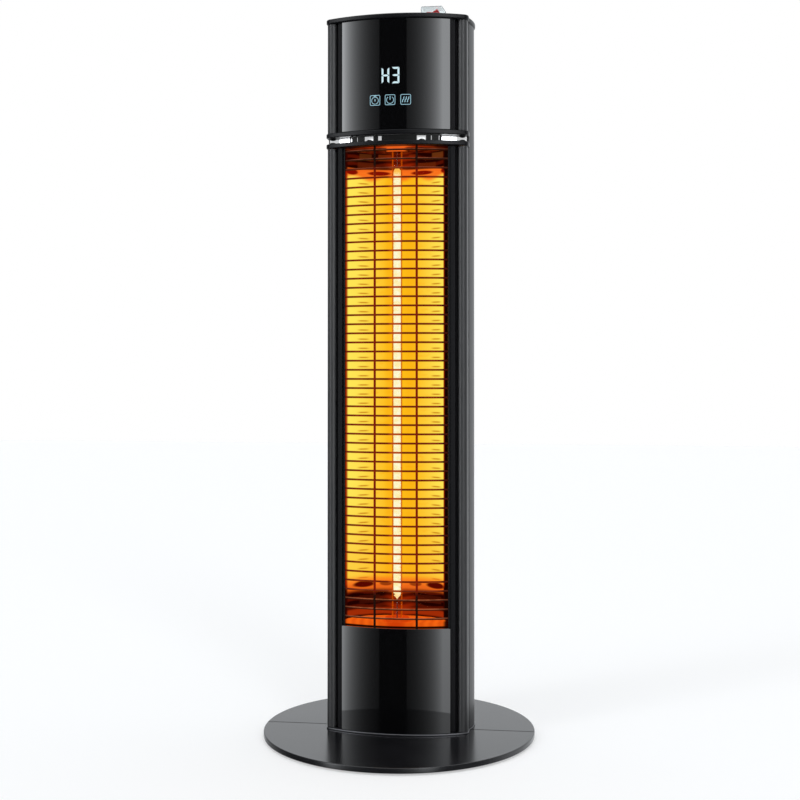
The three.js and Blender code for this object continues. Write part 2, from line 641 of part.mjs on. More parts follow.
function wireGuard() {
  const half = Math.asin(GUARD_HALF / GUARD_R) / RAD;
  const low = GLASS_TOP + WIRE_FIRST;
  const count = 1 + Math.floor((BODY_PLATE_Z - WIRE_LAST - low) / WIRE_PITCH);
  const plan = arc(0, ARC_Y, GUARD_R, -90 - half, -90 + half, 6);
  const wires = [];
  for (let i = 0; i < count; i++) {
    const z = low + i * WIRE_PITCH;
    wires.push(strand(plan.map(([x, y]) => new THREE.Vector3(x, y, z)), WIRE_R, 4));
  }
  const foot = GLASS_TOP - UPRIGHT_DOWN;
  const length = BODY_PLATE_Z - SEAT - foot;
  for (const s of [-1, 1])
    wires.push(rod(UPRIGHT_R, length, s * UPRIGHT_X, onFront(UPRIGHT_RING, UPRIGHT_X), foot, 6));
  return joinAll(wires);
}
add("wire_guard", wireGuard(), "satin");

// ---- reflector trough between a bottom deck with a front lip and a roof plate
const flangeX = STRIP_END - SEAT;
const trough = [[flangeX, REFLECTOR_MOUTH[1]], REFLECTOR_MOUTH, ...REFLECTOR_FOLDS];
const troughPath = [...trough, ...mirrored(trough).slice(1)];
const REFLECTOR_Z = DECK_Z + DECK_T + SEAT;
const REFLECTOR_H = ROOF_Z - SEAT - REFLECTOR_Z;
add("reflector", raised(ribbon(troughPath, REFLECTOR_T), REFLECTOR_Z, REFLECTOR_H), "bright");

const DECK_RING = UPRIGHT_RING - UPRIGHT_R - SEAT;
const deckTurn = Math.asin(DECK_HALF / DECK_RING) / RAD;
const deckFront = arc(0, ARC_Y, DECK_RING, -90 - deckTurn, -90 + deckTurn, 12);
const deckLoop = [...deckFront, [DECK_HALF, DECK_BACK_Y], [-DECK_HALF, DECK_BACK_Y]];
const tubeHole = (z) => rod(TUBE_R + FIT, DECK_T + 2 * CUT, 0, TUBE_Y, z - CUT, 16);
const lipPath = arc(0, ARC_Y, DECK_RING - DECK_T / 2, -90 - deckTurn, -90 + deckTurn, 12);
const lip = raised(ribbon(lipPath, DECK_T), DECK_Z - DECK_LIP, DECK_LIP + DECK_T / 2);
const deck = joinAll([raised(deckLoop, DECK_Z, DECK_T), lip]);
add("reflector_deck", cutAll(deck, [tubeHole(DECK_Z)]), "bright");
add("reflector_roof", cutAll(raised(deckLoop, ROOF_Z, DECK_T), [tubeHole(ROOF_Z)]), "bright");

// ---- quartz tube with its coil, collars at the plates, ceramic caps behind them
const TUBE_LOW = DECK_Z - TUBE_OUT;
const TUBE_HIGH = ROOF_Z + DECK_T + TUBE_OUT;
const TUBE_IN = TUBE_R - TUBE_WALL;
const tubeWall = [[TUBE_IN, TUBE_LOW], [TUBE_R, TUBE_LOW], [TUBE_R, TUBE_HIGH], [TUBE_IN, TUBE_HIGH]];
add("quartz_tube", turned([...tubeWall, tubeWall[0]], 0, TUBE_Y, 16), "quartz");

function collar(z, dir) {
  const bore = TUBE_R + FIT;
  const at = (h) => z + dir * h;
  const profile = [[bore, at(0)], [COLLAR_R, at(0)], [COLLAR_R, at(COLLAR_H - 1)]];
  profile.push([COLLAR_R - 1, at(COLLAR_H)], [bore, at(COLLAR_H)], [bore, at(0)]);
  return turned(profile, 0, TUBE_Y, 16);
}
add("tube_collar_bottom", collar(DECK_Z + DECK_T + SEAT, 1), "zinc");
add("tube_collar_top", collar(ROOF_Z - SEAT, -1), "zinc");

// A ceramic cap takes the end of the tube; face is where it starts, dir points away from the window.
function ceramicCap(face, height, dir) {
  const at = (h) => face + dir * h;
  const depth = TUBE_OUT + SEAT;
  const bore = TUBE_R + FIT;
  const profile = [[bore, at(0)], [CERAMIC_R, at(0)], [CERAMIC_R, at(height - 1)]];
  profile.push([CERAMIC_R - 1, at(height)], [CERAMIC_HOLE, at(height)], [CERAMIC_HOLE, at(depth)]);
  profile.push([bore, at(depth)], [bore, at(0)]);
  return turned(profile, 0, TUBE_Y, 16);
}
const CERAMIC_TOP_H = PLATE_T + NECK_H - 2 * SEAT;
add("ceramic_cap_bottom", ceramicCap(DECK_Z - SEAT, CERAMIC_H, -1), "ceramic");
add("ceramic_cap_top", ceramicCap(BODY_PLATE_Z, CERAMIC_TOP_H, 1), "ceramic");

function coil() {
  const low = DECK_Z + DECK_T + COIL_LOW;
  const high = ROOF_Z - COIL_HIGH;
  const steps = COIL_TURNS * 8;
  const points = [new THREE.Vector3(0, TUBE_Y, DECK_Z - SEAT - TUBE_OUT - 4)];
  points.push(new THREE.Vector3(0, TUBE_Y, low - COIL_TURN_IN));
  for (let i = 0; i <= steps; i++) {
    const a = (Math.PI / 4) * i;
    const z = low + ((high - low) * i) / steps;
    points.push(new THREE.Vector3(COIL_R * Math.cos(a), TUBE_Y + COIL_R * Math.sin(a), z));
  }
  points.push(new THREE.Vector3(0, TUBE_Y, high + COIL_TURN_IN));
  points.push(new THREE.Vector3(0, TUBE_Y, ROOF_Z + DECK_T + TUBE_OUT + 2));
  let least = Infinity;
  for (let i = 0; i < points.length; i++)
    for (let k = i + 6; k < Math.min(i + 12, points.length); k++)
      least = Math.min(least, points[i].distanceTo(points[k]) - 2 * STRAND_R);
  console.log(`coil: ${COIL_TURNS} turns, least gap between turns ${least.toFixed(2)} mm`);
  return strand(points, STRAND_R, 5);
}
add("heating_coil", coil(), "glowing");

// ---- heat shield held between the tongues of the posts, thermal cut-out on its back
const shieldX = TONGUE_X - WALL / 2 - SEAT - SHIELD_T / 2;
const SHIELD_Y = SHELL_BACK_Y - SHIELD_IN;
const shieldHalf = SHIELD_FOLD.map((back) => [shieldX, SHELL_FRONT_Y + back]);
shieldHalf.push([SHELL_FLAT + SHIELD_WIDER, SHIELD_Y]);
const shieldPath = [...shieldHalf, ...mirrored(shieldHalf)];
const SHIELD_Z = GLASS_TOP - SHIELD_DOWN;
add("heat_shield", raised(ribbon(shieldPath, SHIELD_T), SHIELD_Z, BODY_PLATE_Z - SEAT - SHIELD_Z), "zinc");

function thermalCutout() {
  const y = SHIELD_Y + SHIELD_T / 2 + SEAT;
  const z = BODY_PLATE_Z - CUTOUT_DOWN;
  const r = CUTOUT_R;
  const profile = [[0, y], [r, y], [r, y + 0.6 * CUTOUT_H], [0.7 * r, y + CUTOUT_H], [0, y + CUTOUT_H]];
  const base = block(3.6 * r, 1, 1.4 * r, CUTOUT_X, y + 0.5, z - 0.7 * r);
  const tabs = [-1, 1].map((s) => block(1, 5, 4, CUTOUT_X + 0.35 * s * r, y + CUTOUT_H + 2, z - 2));
  return joinAll([turnedAcross(profile, CUTOUT_X, z, 16), base, ...tabs]);
}
add("thermal_cutout", thermalCutout(), "plastic");

// ---- wiring sleeve, terminal block and tilt switch at the foot
const INNER_Z = FOOT_Z + FOOT_T + SEAT;
const sleeveFoot = INNER_Z + SLEEVE_FOOT;
const sleeveTop = HEAD_Z + SLEEVE_HEAD;
add("wiring_sleeve", rod(SLEEVE_R, sleeveTop - sleeveFoot, SLEEVE_X, SLEEVE_Y, sleeveFoot, 12), "rubber");

function terminalBlock() {
  const body = block(TERMINAL_W, TERMINAL_D, TERMINAL_H, 0, TERMINAL_Y, INNER_Z);
  const slots = [];
  const pitch = TERMINAL_W / TERMINAL_WAYS;
  const slotZ = INNER_Z + 0.6 * TERMINAL_H;
  for (let i = 0; i < TERMINAL_WAYS; i++) {
    const x = pitch * (i + 0.5) - TERMINAL_W / 2;
    slots.push(block(0.7 * pitch, TERMINAL_D + 2 * CUT, TERMINAL_H, x, TERMINAL_Y - 3, slotZ));
  }
  return cutAll(body, slots);
}
add("terminal_block", terminalBlock(), "plastic");

function tiltSwitch() {
  const body = block(TILT_W, TILT_D, TILT_H, TILT_X, 0, INNER_Z);
  const ears = block(TILT_W + 14, 0.6 * TILT_D, 2.5, TILT_X, 0, INNER_Z);
  const lid = rod(0.35 * TILT_D, TILT_H + 3, TILT_X, 0, INNER_Z, 16);
  return joinAll([body, ears, lid]);
}
add("tilt_switch", tiltSwitch(), "plastic");

// ---- power board standing in the head, display board behind the glass
function powerBoard() {
  const z = HEAD_PLATE_Z + PLATE_T + SEAT;
  const front = BOARD_Y - BOARD_T / 2 + 0.1;
  const part = (w, d, h, x, up) => block(w, d, h, x, front - d / 2, z + up);
  const pieces = [block(BOARD_W, BOARD_T, BOARD_H, 0, BOARD_Y, z)];
  pieces.push(part(34, 24, 28, -34, 8), part(20, 16, 16, 4, 12), part(20, 16, 16, 30, 12));
  pieces.push(part(30, 8, 12, 30, 50), part(12, 10, 30, -38, 46));
  for (const s of [-1, 1])
    pieces.push(block(BRACKET_W, BRACKET_D, BRACKET_T, s * (BOARD_W / 2 - BRACKET_IN), BOARD_Y, z));
  return joinAll(pieces);
}
add("power_board", powerBoard(), "board");

function displayBoard() {
  const glassBack = FRONT_R - GLASS_T;
  const front = onFront(glassBack, DISPLAY_W / 2) + SEAT;
  const z = HEAD_Z + DISPLAY_UP;
  const face = onFront(glassBack, READOUT_W / 2) + SEAT;
  const board = block(DISPLAY_W, BOARD_T, DISPLAY_H, 0, front + BOARD_T / 2, z);
  const depth = front - face + 0.2;
  const readout = block(READOUT_W, depth, READOUT_H, 0, face + depth / 2, z + DISPLAY_H - READOUT_H - 10);
  return joinAll([board, readout]);
}
add("display_board", displayBoard(), "board");

// ---- mains switch: body in the cap, red rocker on a hinge along Y, clear splash boot
const BEZEL_Z = CAP_TOP + SEAT;
const HINGE_Z = CAP_TOP - HINGE_DOWN;

function switchBody() {
  const bezel = block(BEZEL_W, BEZEL_D, BEZEL_T, 0, 0, BEZEL_Z);
  const housing = block(HOUSING_W, HOUSING_D, HOUSING_H + BEZEL_T / 2, 0, 0, BEZEL_Z - HOUSING_H);
  const depth = BEZEL_Z + BEZEL_T - HINGE_Z + ROCKER_LOW + ROCKER_SWING;
  const wide = 2 * (ROCKER_HALF + ROCKER_SWING);
  const recess = block(wide, ROCKER_D + 2 * ROCKER_SIDE, depth + CUT, 0, 0, BEZEL_Z + BEZEL_T - depth);
  const pinOut = PIN_OUT + FIT;
  const pins = across(PIN_R + FIT, ROCKER_D + 2 * pinOut, 0, ROCKER_D / 2 + pinOut, HINGE_Z, 12);
  const tags = [-6, 0, 6].map((x) => block(1, 5, 8, x, 0, BEZEL_Z - HOUSING_H - 7));
  const body = joinAll([bezel, housing, ...tags]);
  return cutAll(body, [recess, pins]).translate(SWITCH_X, SWITCH_Y, 0);
}
add("switch_body", switchBody(), "plastic");

function rockerBody() {
  const [w, h, low] = [ROCKER_HALF, ROCKER_HIGH, ROCKER_LOW];
  const outline = [[-w, h], [-0.96 * w, -1.5], [-0.6 * w, -low], [0.6 * w, -low], [0.96 * w, -1.5], [w, h]];
  outline.push([w - 1.2, h], [0, h - ROCKER_DIP], [1.2 - w, h]);
  const key = raised(outline, 0, ROCKER_D).rotateX(Math.PI / 2).translate(0, ROCKER_D / 2, 0);
  const pin = across(PIN_R, ROCKER_D + 2 * PIN_OUT, 0, ROCKER_D / 2 + PIN_OUT, 0, 12);
  return joinAll([outward(key), pin]);
}
const rocker = add("switch_rocker", rockerBody(), "red");
rocker.position.set(SWITCH_X, SWITCH_Y, HINGE_Z);
rocker.rotation.y = -ROCKER_TILT * RAD;

function boot() {
  const half = BOOT_W / 2;
  const side = (t) => {
    const top = BOOT_H - t;
    const right = half - t;
    const slope = [[right, BOOT_RISE], [right - BOOT_RUN, top]];
    return [[-right, 0], [right, 0], ...slope, [1 - right, top], [-right, top - 1]];
  };
  const wall = (t, from, grow) => {
    const outline = side(t).map(([x, z]) => [x, z <= 0 ? from : z]);
    const depth = BOOT_D - 2 * t + grow;
    const g = raised(outline, 0, depth).rotateX(Math.PI / 2).translate(0, depth / 2, 0);
    return outward(g);
  };
  const rim = block(BOOT_W + 2 * BOOT_RIM, BOOT_D + 2 * BOOT_RIM, BOOT_T, 0, 0, 0);
  const shell = cutAll(joinAll([wall(0, 0, 0), rim]), [wall(BOOT_T, -CUT, 0)]);
  return shell.translate(SWITCH_X, SWITCH_Y, BEZEL_Z);
}
add("switch_boot", boot(), "clear");

export default heater;
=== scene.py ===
# Looks of the infrared patio heater tower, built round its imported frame. Metres, front towards -Y.
import json
import math

import bmesh
import bpy
import numpy as np
from mathutils import Matrix, Vector


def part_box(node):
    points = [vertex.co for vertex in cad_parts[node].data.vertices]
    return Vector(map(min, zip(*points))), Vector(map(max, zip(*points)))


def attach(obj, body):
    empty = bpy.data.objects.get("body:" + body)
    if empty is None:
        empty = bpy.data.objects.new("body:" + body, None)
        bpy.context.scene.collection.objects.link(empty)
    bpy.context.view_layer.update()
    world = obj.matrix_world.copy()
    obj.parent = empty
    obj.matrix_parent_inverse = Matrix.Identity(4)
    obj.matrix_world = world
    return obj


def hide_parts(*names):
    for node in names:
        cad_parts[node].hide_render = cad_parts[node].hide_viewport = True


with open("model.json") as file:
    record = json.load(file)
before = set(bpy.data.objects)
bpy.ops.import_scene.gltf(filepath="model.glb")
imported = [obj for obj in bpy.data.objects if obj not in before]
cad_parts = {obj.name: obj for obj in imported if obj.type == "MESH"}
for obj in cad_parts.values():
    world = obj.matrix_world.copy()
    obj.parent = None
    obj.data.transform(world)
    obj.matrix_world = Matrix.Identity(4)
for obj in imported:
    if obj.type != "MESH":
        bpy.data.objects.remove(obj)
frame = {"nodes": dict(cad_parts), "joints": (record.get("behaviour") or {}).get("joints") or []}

scene = bpy.context.scene
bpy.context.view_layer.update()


# ---- Camera
# A portrait lens at table height, a little to the right of the column's front.
# It looks almost level, so the column's sides stay nearly parallel.
IMAGE_SIDE = 800  # pixels of the photograph
SENSOR = 36.0
FOCAL_PIXELS = 1293.85
CAMERA_AWAY = 1.5984  # from the axis of the base, along the floor
CAMERA_HEIGHT = 0.451
CAMERA_AZIMUTH = 8.0
CAMERA_DOWN = -0.617  # degrees below level
HORIZON_ROW = 367.2
AIM_COLUMN = 399.2  # picture column of the base's axis

lens = bpy.data.cameras.new("camera")
lens.sensor_width = SENSOR
lens.lens = SENSOR * FOCAL_PIXELS / IMAGE_SIDE
level_row = IMAGE_SIDE / 2 - FOCAL_PIXELS * math.tan(math.radians(CAMERA_DOWN))
lens.shift_y = (HORIZON_ROW - level_row) / IMAGE_SIDE
lens.shift_x = (IMAGE_SIDE / 2 - AIM_COLUMN) / IMAGE_SIDE
lens.clip_start = 0.05
camera = bpy.data.objects.new("camera", lens)
turn = math.radians(CAMERA_AZIMUTH)
camera.location = (CAMERA_AWAY * math.sin(turn), -CAMERA_AWAY * math.cos(turn), CAMERA_HEIGHT)
camera.rotation_euler = (math.radians(90 - CAMERA_DOWN), 0, turn)
scene.collection.objects.link(camera)
scene.camera = camera


# ---- Studio: surroundings and floor
# Two tall soft panels stand left and right of the lens with a dark gap between them, a soft
# light hangs above, and pale walls close the room, the left one darker. The floor is pale too.
class Val:
    """A number or vector that varies over a surface; its operators add Math nodes."""

    def __init__(self, paint, socket):
        self.paint, self.socket = paint, socket

    def math(self, operation, *others):
        values = {i: v for i, v in enumerate((self, *others))}
        return self.paint.node("Math", values, operation=operation)

    def __add__(self, other): return self.math("ADD", other)
    def __sub__(self, other): return self.math("SUBTRACT", other)
    def __mul__(self, other): return self.math("MULTIPLY", other)
    def __truediv__(self, other): return self.math("DIVIDE", other)
    def __neg__(self): return self.math("MULTIPLY", -1.0)
    def __abs__(self): return self.math("ABSOLUTE")
    __radd__, __rmul__ = __add__, __mul__

    def __rsub__(self, other): return self.paint.node("Math", {0: other, 1: self}, operation="SUBTRACT")

    def rise(self, low, high):
        """0 below low, 1 above high, smooth between."""
        values = {"Value": self, "From Min": low, "From Max": high}
        return self.paint.node("MapRange", values, interpolation_type="SMOOTHSTEP")


class Paint:
    """The node tree of one finish and the values that its patterns are made of."""

    def __init__(self, tree):
        self.tree = tree

    def plug(self, socket, value):
        if isinstance(value, Val):
            self.tree.links.new(value.socket, socket)
        elif isinstance(value, (tuple, list)) and len(value) == 3 and socket.type == "RGBA":
            socket.default_value = (*value, 1)
        else:
            socket.default_value = value

    def node(self, kind, values=None, out=0, **settings):
        made = self.tree.nodes.new("ShaderNode" + kind)
        for key, value in settings.items():
            setattr(made, key, value)
        for key, value in (values or {}).items():
            self.plug(made.inputs[key], value)
        return Val(self, made.outputs[out])

    def place(self, kind="Object"):
        spot = self.node("TexCoord", out=kind)
        return [self.node("SeparateXYZ", {0: spot}, out=i) for i in range(3)]

    def mix(self, share, a, b):
        """Colour a turning into colour b."""
        return self.node("Mix", {0: share, 6: a, 7: b}, out=2, data_type="RGBA")

    def grain(self, size, detail=3.0, stretch=(1, 1, 1)):
        """Soft noise with spots of about that size in metres, 0 to 1."""
        spot = self.node("TexCoord", out="Object")
        spread = self.node("Mapping", {"Vector": spot, "Scale": stretch})
        return self.node("TexNoise", {"Vector": spread, "Scale": 1 / size, "Detail": detail})


GAP_MIDDLE, GAP_HALF = -9.4, 10.2  # degrees round from -Y towards +X
PANEL_LOW, PANEL_GROWTH = 0.14, 0.132  # light at the gap's edge, and its growth a degree
LEFT_MOST, RIGHT_MOST = 6.5, 4.6
LEFT_END, RIGHT_END = (48, 60), (33, 43)
PANEL_FOOT, PANEL_HEAD = (-36, 8), (26, 60)  # elevations where a panel fades out
BACK_LIGHT, SIDE_LIGHT, TOP_LIGHT = 1.0, 0.14, 1.47
LEFT_SHADE = 0.6  # how much darker the left wall is than the right one

world = bpy.data.worlds.new("studio")
world.use_nodes = True
scene.world = world
room = Paint(world.node_tree)
x, y, z = room.place("Generated")
around = x.math("ARCTAN2", -y) * math.degrees(1)
above = z.math("ARCSINE") * math.degrees(1)
from_gap = abs(around - GAP_MIDDLE) - GAP_HALF
panel = (from_gap * PANEL_GROWTH).math("EXPONENT") * PANEL_LOW
on_left = around.math("LESS_THAN", GAP_MIDDLE)
left_panel = panel.math("MINIMUM", LEFT_MOST) * (1 - (-around).rise(*LEFT_END)) * on_left
right_panel = panel.math("MINIMUM", RIGHT_MOST) * (1 - around.rise(*RIGHT_END)) * (1 - on_left)
standing = above.rise(*PANEL_FOOT) * (1 - above.rise(*PANEL_HEAD))
panels = (left_panel + right_panel) * from_gap.math("GREATER_THAN", 0.0) * standing
off_front = abs(around - GAP_MIDDLE)
back = off_front.rise(82, 122)
walls = back * BACK_LIGHT + off_front.rise(45, 70) * (1 - back) * SIDE_LIGHT
walls = walls * (1 - on_left * (1 - off_front.rise(125, 155)) * LEFT_SHADE)
overhead = above.rise(40, 62)
light = panels + walls * (1 - overhead) + overhead * TOP_LIGHT + 0.02
seen = room.node("LightPath", out="Is Camera Ray")
strength = seen + (1 - seen) * light
room.plug(world.node_tree.nodes["Background"].inputs["Strength"], strength)
tint = room.mix(seen, (0.94, 0.97, 1.0), (1.0, 1.0, 1.0))
room.plug(world.node_tree.nodes["Background"].inputs["Color"], tint)

FLOOR_HALF = 6.0
FLOOR_GLOW = 0.45  # share of plain white that the lens sees in the floor

floor_look = bpy.data.materials.new("pale_floor")
floor_look.use_nodes = True
ground = Paint(floor_look.node_tree)
pale = ground.node("BsdfDiffuse", {"Color": (0.97, 0.97, 0.97)})
white = ground.node("Emission", {"Color": (1.0, 1.0, 1.0), "Strength": 1.0})
to_lens = ground.node("LightPath", out="Is Camera Ray") * FLOOR_GLOW
mirrored_ray = ground.node("LightPath", out="Is Glossy Ray")
shown_floor = ground.node("MixShader", {0: to_lens, 1: pale, 2: white})
open_floor = ground.node("BsdfTransparent")
either = ground.node("MixShader", {0: mirrored_ray, 1: shown_floor, 2: open_floor})
ground.plug(floor_look.node_tree.nodes["Material Output"].inputs["Surface"], either)

floor_mesh = bpy.data.meshes.new("floor")
corners = [(sx * FLOOR_HALF, sy * FLOOR_HALF, 0) for sx, sy in ((-1, -1), (1, -1), (1, 1), (-1, 1))]
floor_mesh.from_pydata(corners, [], [(0, 1, 2, 3)])
floor_mesh.materials.append(floor_look)
floor = bpy.data.objects.new("floor", floor_mesh)
scene.collection.objects.link(floor)
scene.view_settings.view_transform = "Standard"


# ---- Base: two half plates of cut steel with a seam along the column's width
# Laser-cut plate with softened edges, satin black powder coat, counterbored from below.
def finish(name, colour, rough, metal=0.0, **constants):
    """A material with its constants set, and the Paint that its patterns go through."""
    look = bpy.data.materials.new(name)
    look.use_nodes = True
    paint = Paint(look.node_tree)
    paint.shader = look.node_tree.nodes["Principled BSDF"].inputs
    paint.shader["Base Color"].default_value = (*colour, 1)
    paint.shader["Roughness"].default_value = rough
    paint.shader["Metallic"].default_value = metal
    for key, value in constants.items():
        paint.plug(paint.shader[key.replace("_", " ")], value)
    return look, paint


def coated(name, colour, rough, spread, grain, depth, **constants):
    """A coat with a fine grain: its roughness wanders by spread, its bumps are depth metres high."""
    look, paint = finish(name, colour, rough, **constants)
    cloud = paint.grain(0.05)
    fine = paint.grain(grain)
    pale_tone = tuple(1.5 * c for c in colour)
    paint.plug(paint.shader["Base Color"], paint.mix(cloud.rise(0.3, 0.75), colour, pale_tone))
    paint.plug(paint.shader["Roughness"], rough + (cloud - 0.5) * spread)
    values = {"Height": fine, "Strength": 1.0, "Distance": depth}
    paint.plug(paint.shader["Normal"], paint.node("Bump", values))
    return look


def arc(cx, cy, r, start, end, steps):
    turns = np.radians(np.linspace(start, end, steps + 1))
    return [(cx + r * math.cos(a), cy + r * math.sin(a)) for a in turns]


def shifted(points, d, closed=False):
    """A path moved to its right by d, with mitred corners."""
    n, moved = len(points), []
    for i, p in enumerate(points):
        sides = []
        if closed or i > 0:
            sides.append((points[i - 1], p))
        if closed or i < n - 1:
            sides.append((p, points[(i + 1) % n]))
        normals = []
        for a, b in sides:
            length = math.dist(a, b)
            normals.append(((b[1] - a[1]) / length, (a[0] - b[0]) / length))
        u, w = normals[0], normals[-1]
        k = d / (1 + u[0] * w[0] + u[1] * w[1])
        moved.append((p[0] + k * (u[0] + w[0]), p[1] + k * (u[1] + w[1])))
    return moved


def prism(outline, rings, bm=None):
    """A plan outline stacked through rings of (inset, height), closed at both ends."""
    bm = bm or bmesh.new()
    loops = []
    for inset, height in rings:
        loops.append([bm.verts.new((px, py, height)) for px, py in shifted(outline, -inset, True)])
    n = len(outline)
    for low, high in zip(loops, loops[1:]):
        for i in range(n):
            k = (i + 1) % n
            bm.faces.new((low[i], low[k], high[k], high[i]))
    bm.faces.new(loops[0][::-1])
    bm.faces.new(loops[-1])
    return bm


def soft_rings(low, high, edge, steps=3):
    """Rings of a plate between two heights whose edges are rounded by edge."""
    turns = [math.radians(90 * i / steps) for i in range(steps + 1)]
    foot = [(edge * (1 - math.sin(t)), low + edge * (1 - math.cos(t))) for t in turns]
    return foot + [(inset, low + high - height) for inset, height in reversed(foot)]


def lathe(profile, spot=(0, 0, 0), axis="Z", sides=48, bm=None):
    """A closed turned piece: profile of (radius, height) points, round an axis through spot."""
    bm = bm or bmesh.new()
    tilt = {"Z": Matrix(), "Y": Matrix.Rotation(-math.pi / 2, 4, "X")}[axis]
    to_place = Matrix.Translation(spot) @ tilt
    loops = []
    for radius, height in profile:
        if radius == 0:
            loops.append([bm.verts.new(to_place @ Vector((0, 0, height)))])
            continue
        turns = [2 * math.pi * i / sides for i in range(sides)]
        loops.append(
            [
                bm.verts.new(to_place @ Vector((radius * math.cos(t), radius * math.sin(t), height)))
                for t in turns
            ]
        )
    for low, high in zip(loops, loops[1:]):
        for i in range(sides):
            k = (i + 1) % sides
            if len(low) == 1:
                bm.faces.new((low[0], high[k], high[i]))
            elif len(high) == 1:
                bm.faces.new((low[i], low[k], high[0]))
            else:
                bm.faces.new((low[i], low[k], high[k], high[i]))
    if len(loops[0]) > 1 and profile[0] == profile[-1]:
        bmesh.ops.remove_doubles(bm, verts=loops[0] + loops[-1], dist=1e-7)
    return bm


def mesh_of(name, bm):
    bmesh.ops.recalc_face_normals(bm, faces=bm.faces)
    mesh = bpy.data.meshes.new(name)
    bm.to_mesh(mesh)
    bm.free()
    return mesh


def applied(obj):
    """The object with its modifiers made into its mesh."""
    graph = bpy.context.evaluated_depsgraph_get()
    mesh = bpy.data.meshes.new_from_object(obj.evaluated_get(graph))
    obj.modifiers.clear()
    obj.data = mesh
    return obj


def piece(name, mesh, look, nodes=(), body="heater", sharp=32, cutter=None, bevel=0):
    """A finished piece: cut, bevelled and smoothed where asked, then set on its body, with the CAD nodes it
    replaces hidden.
    """
    obj = bpy.data.objects.new(name, mesh)
    scene.collection.objects.link(obj)
    if cutter:
        tool = bpy.data.objects.new("cutter", cutter)
        scene.collection.objects.link(tool)
        cut = obj.modifiers.new("cut", "BOOLEAN")
        cut.object, cut.solver = tool, "EXACT"
        applied(obj)
        bpy.data.objects.remove(tool)
    if bevel:
        soft = obj.modifiers.new("soft", "BEVEL")
        soft.width, soft.segments, soft.limit_method = bevel, 3, "ANGLE"
        applied(obj)
    for face in obj.data.polygons:
        face.use_smooth = True
    obj.data.set_sharp_from_angle(angle=math.radians(sharp))
    weight = obj.modifiers.new("weight", "WEIGHTED_NORMAL")
    weight.keep_sharp = True
    applied(obj)
    obj.data.materials.clear()
    obj.data.materials.append(look)
    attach(obj, body)
    if nodes:
        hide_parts(*nodes)
    return obj


def dressed(look, *nodes):
    """CAD nodes that keep their shape and take a finish."""
    for node in nodes:
        frame["nodes"][node].data.materials.clear()
        frame["nodes"][node].data.materials.append(look)


BASE_R = 0.166
BASE_SEAM = 0.0006
BASE_EDGE = 0.0011
SCREW_SPOTS = [(sx * 0.052, sy * 0.020) for sx in (-1, 1) for sy in (-1, 1)]
SCREW_HOLE_R, SINK_R, SINK_DEEP = 0.00285, 0.00495, 0.0033
PAST = 0.001  # how far a cutter reaches past the face that it cuts
base_black = coated("powder_coat_base", (0.007, 0.007, 0.008), 0.21, 0.06, 0.0009, 0.000006)
for side, node in ((-1, "base_front_half"), (1, "base_rear_half")):
    low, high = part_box(node)
    edge_turn = math.degrees(math.asin(BASE_SEAM / 2 / BASE_R))
    half = arc(0, 0, BASE_R, edge_turn, 180 - edge_turn, 96)
    outline = half if side > 0 else [(-px, -py) for px, py in half]
    plate = mesh_of(node, prism(outline, soft_rings(low.z, high.z, BASE_EDGE)))
    holes = bmesh.new()
    for px, py in SCREW_SPOTS:
        if py * side > 0:
            sink = [(0, low.z - PAST), (SINK_R, low.z - PAST), (SINK_R, low.z + SINK_DEEP)]
            sink += [(SCREW_HOLE_R, low.z + SINK_DEEP), (SCREW_HOLE_R, high.z + PAST), (0, high.z + PAST)]
            lathe(sink, (px, py, 0), sides=24, bm=holes)
    piece(
        "half_plate_" + ("front" if side < 0 else "rear"), plate, base_black, [node],
        cutter=mesh_of("sinks", holes)
    )


# ---- Under the base: rubber pads and the screws into the foot plate
# Stuck-on rubber discs and zinc-plated cap screws, both seen only from below.
pad_rubber = coated("pad_rubber", (0.018, 0.018, 0.018), 0.8, 0.1, 0.0006, 0.00003)
dressed(pad_rubber, *[n for n in frame["nodes"] if n.startswith("rubber_pad")])
zinc, zinc_paint = finish("zinc_plate", (0.62, 0.62, 0.61), 0.32, 1.0)
patches = zinc_paint.grain(0.006, 5.0)
zinc_paint.plug(zinc_paint.shader["Roughness"], 0.24 + patches * 0.22)
zinc_paint.plug(
    zinc_paint.shader["Base Color"], zinc_paint.mix(patches, (0.50, 0.50, 0.50), (0.74, 0.74, 0.72))
)
dressed(zinc, *[n for n in frame["nodes"] if n.startswith("base_screw")])


# ---- Foot plate: a thin plate with screw bosses, proud of the column by under a millimetre
# Its cut rim stays bare and shows as the fine light line round the column's foot.
FRONT_R = 0.2  # radius of the curved front
BEAD_R, BEAD_X = 0.0064, 0.080
SHELL_T = 0.0016
SHELL_FRONT_Y = -0.0055
SHELL_PROUD = 0.0005
SHELL_FLARE, SHELL_WIDE_Y = 0.0041, 0.020
SHELL_BACK_Y, SHELL_FLAT = 0.054, 0.056
SEAT = 0.0003
FOOT_PROUD = 0.0008

front_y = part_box("head_glass")[0].y
arc_y = front_y + FRONT_R
bead_y = arc_y - math.sqrt((FRONT_R - BEAD_R) ** 2 - BEAD_X**2)
bead_turn = math.degrees(math.atan2(bead_y - arc_y, BEAD_X))
post_x = BEAD_X + BEAD_R
shell_x = post_x + SHELL_PROUD


def on_front(radius, px):
    return arc_y - math.sqrt(radius * radius - px * px)


def bezier(p, q, r, s, steps):
    points = []
    for t in np.linspace(0, 1, steps + 1):
        a, b, c, d = (1 - t) ** 3, 3 * t * (1 - t) ** 2, 3 * t * t * (1 - t), t**3
        points.append(
            (a * p[0] + b * q[0] + c * r[0] + d * s[0], a * p[1] + b * q[1] + c * r[1] + d * s[1])
        )
    return points


def mirrored(points):
    return [(-px, py) for px, py in points][::-1]


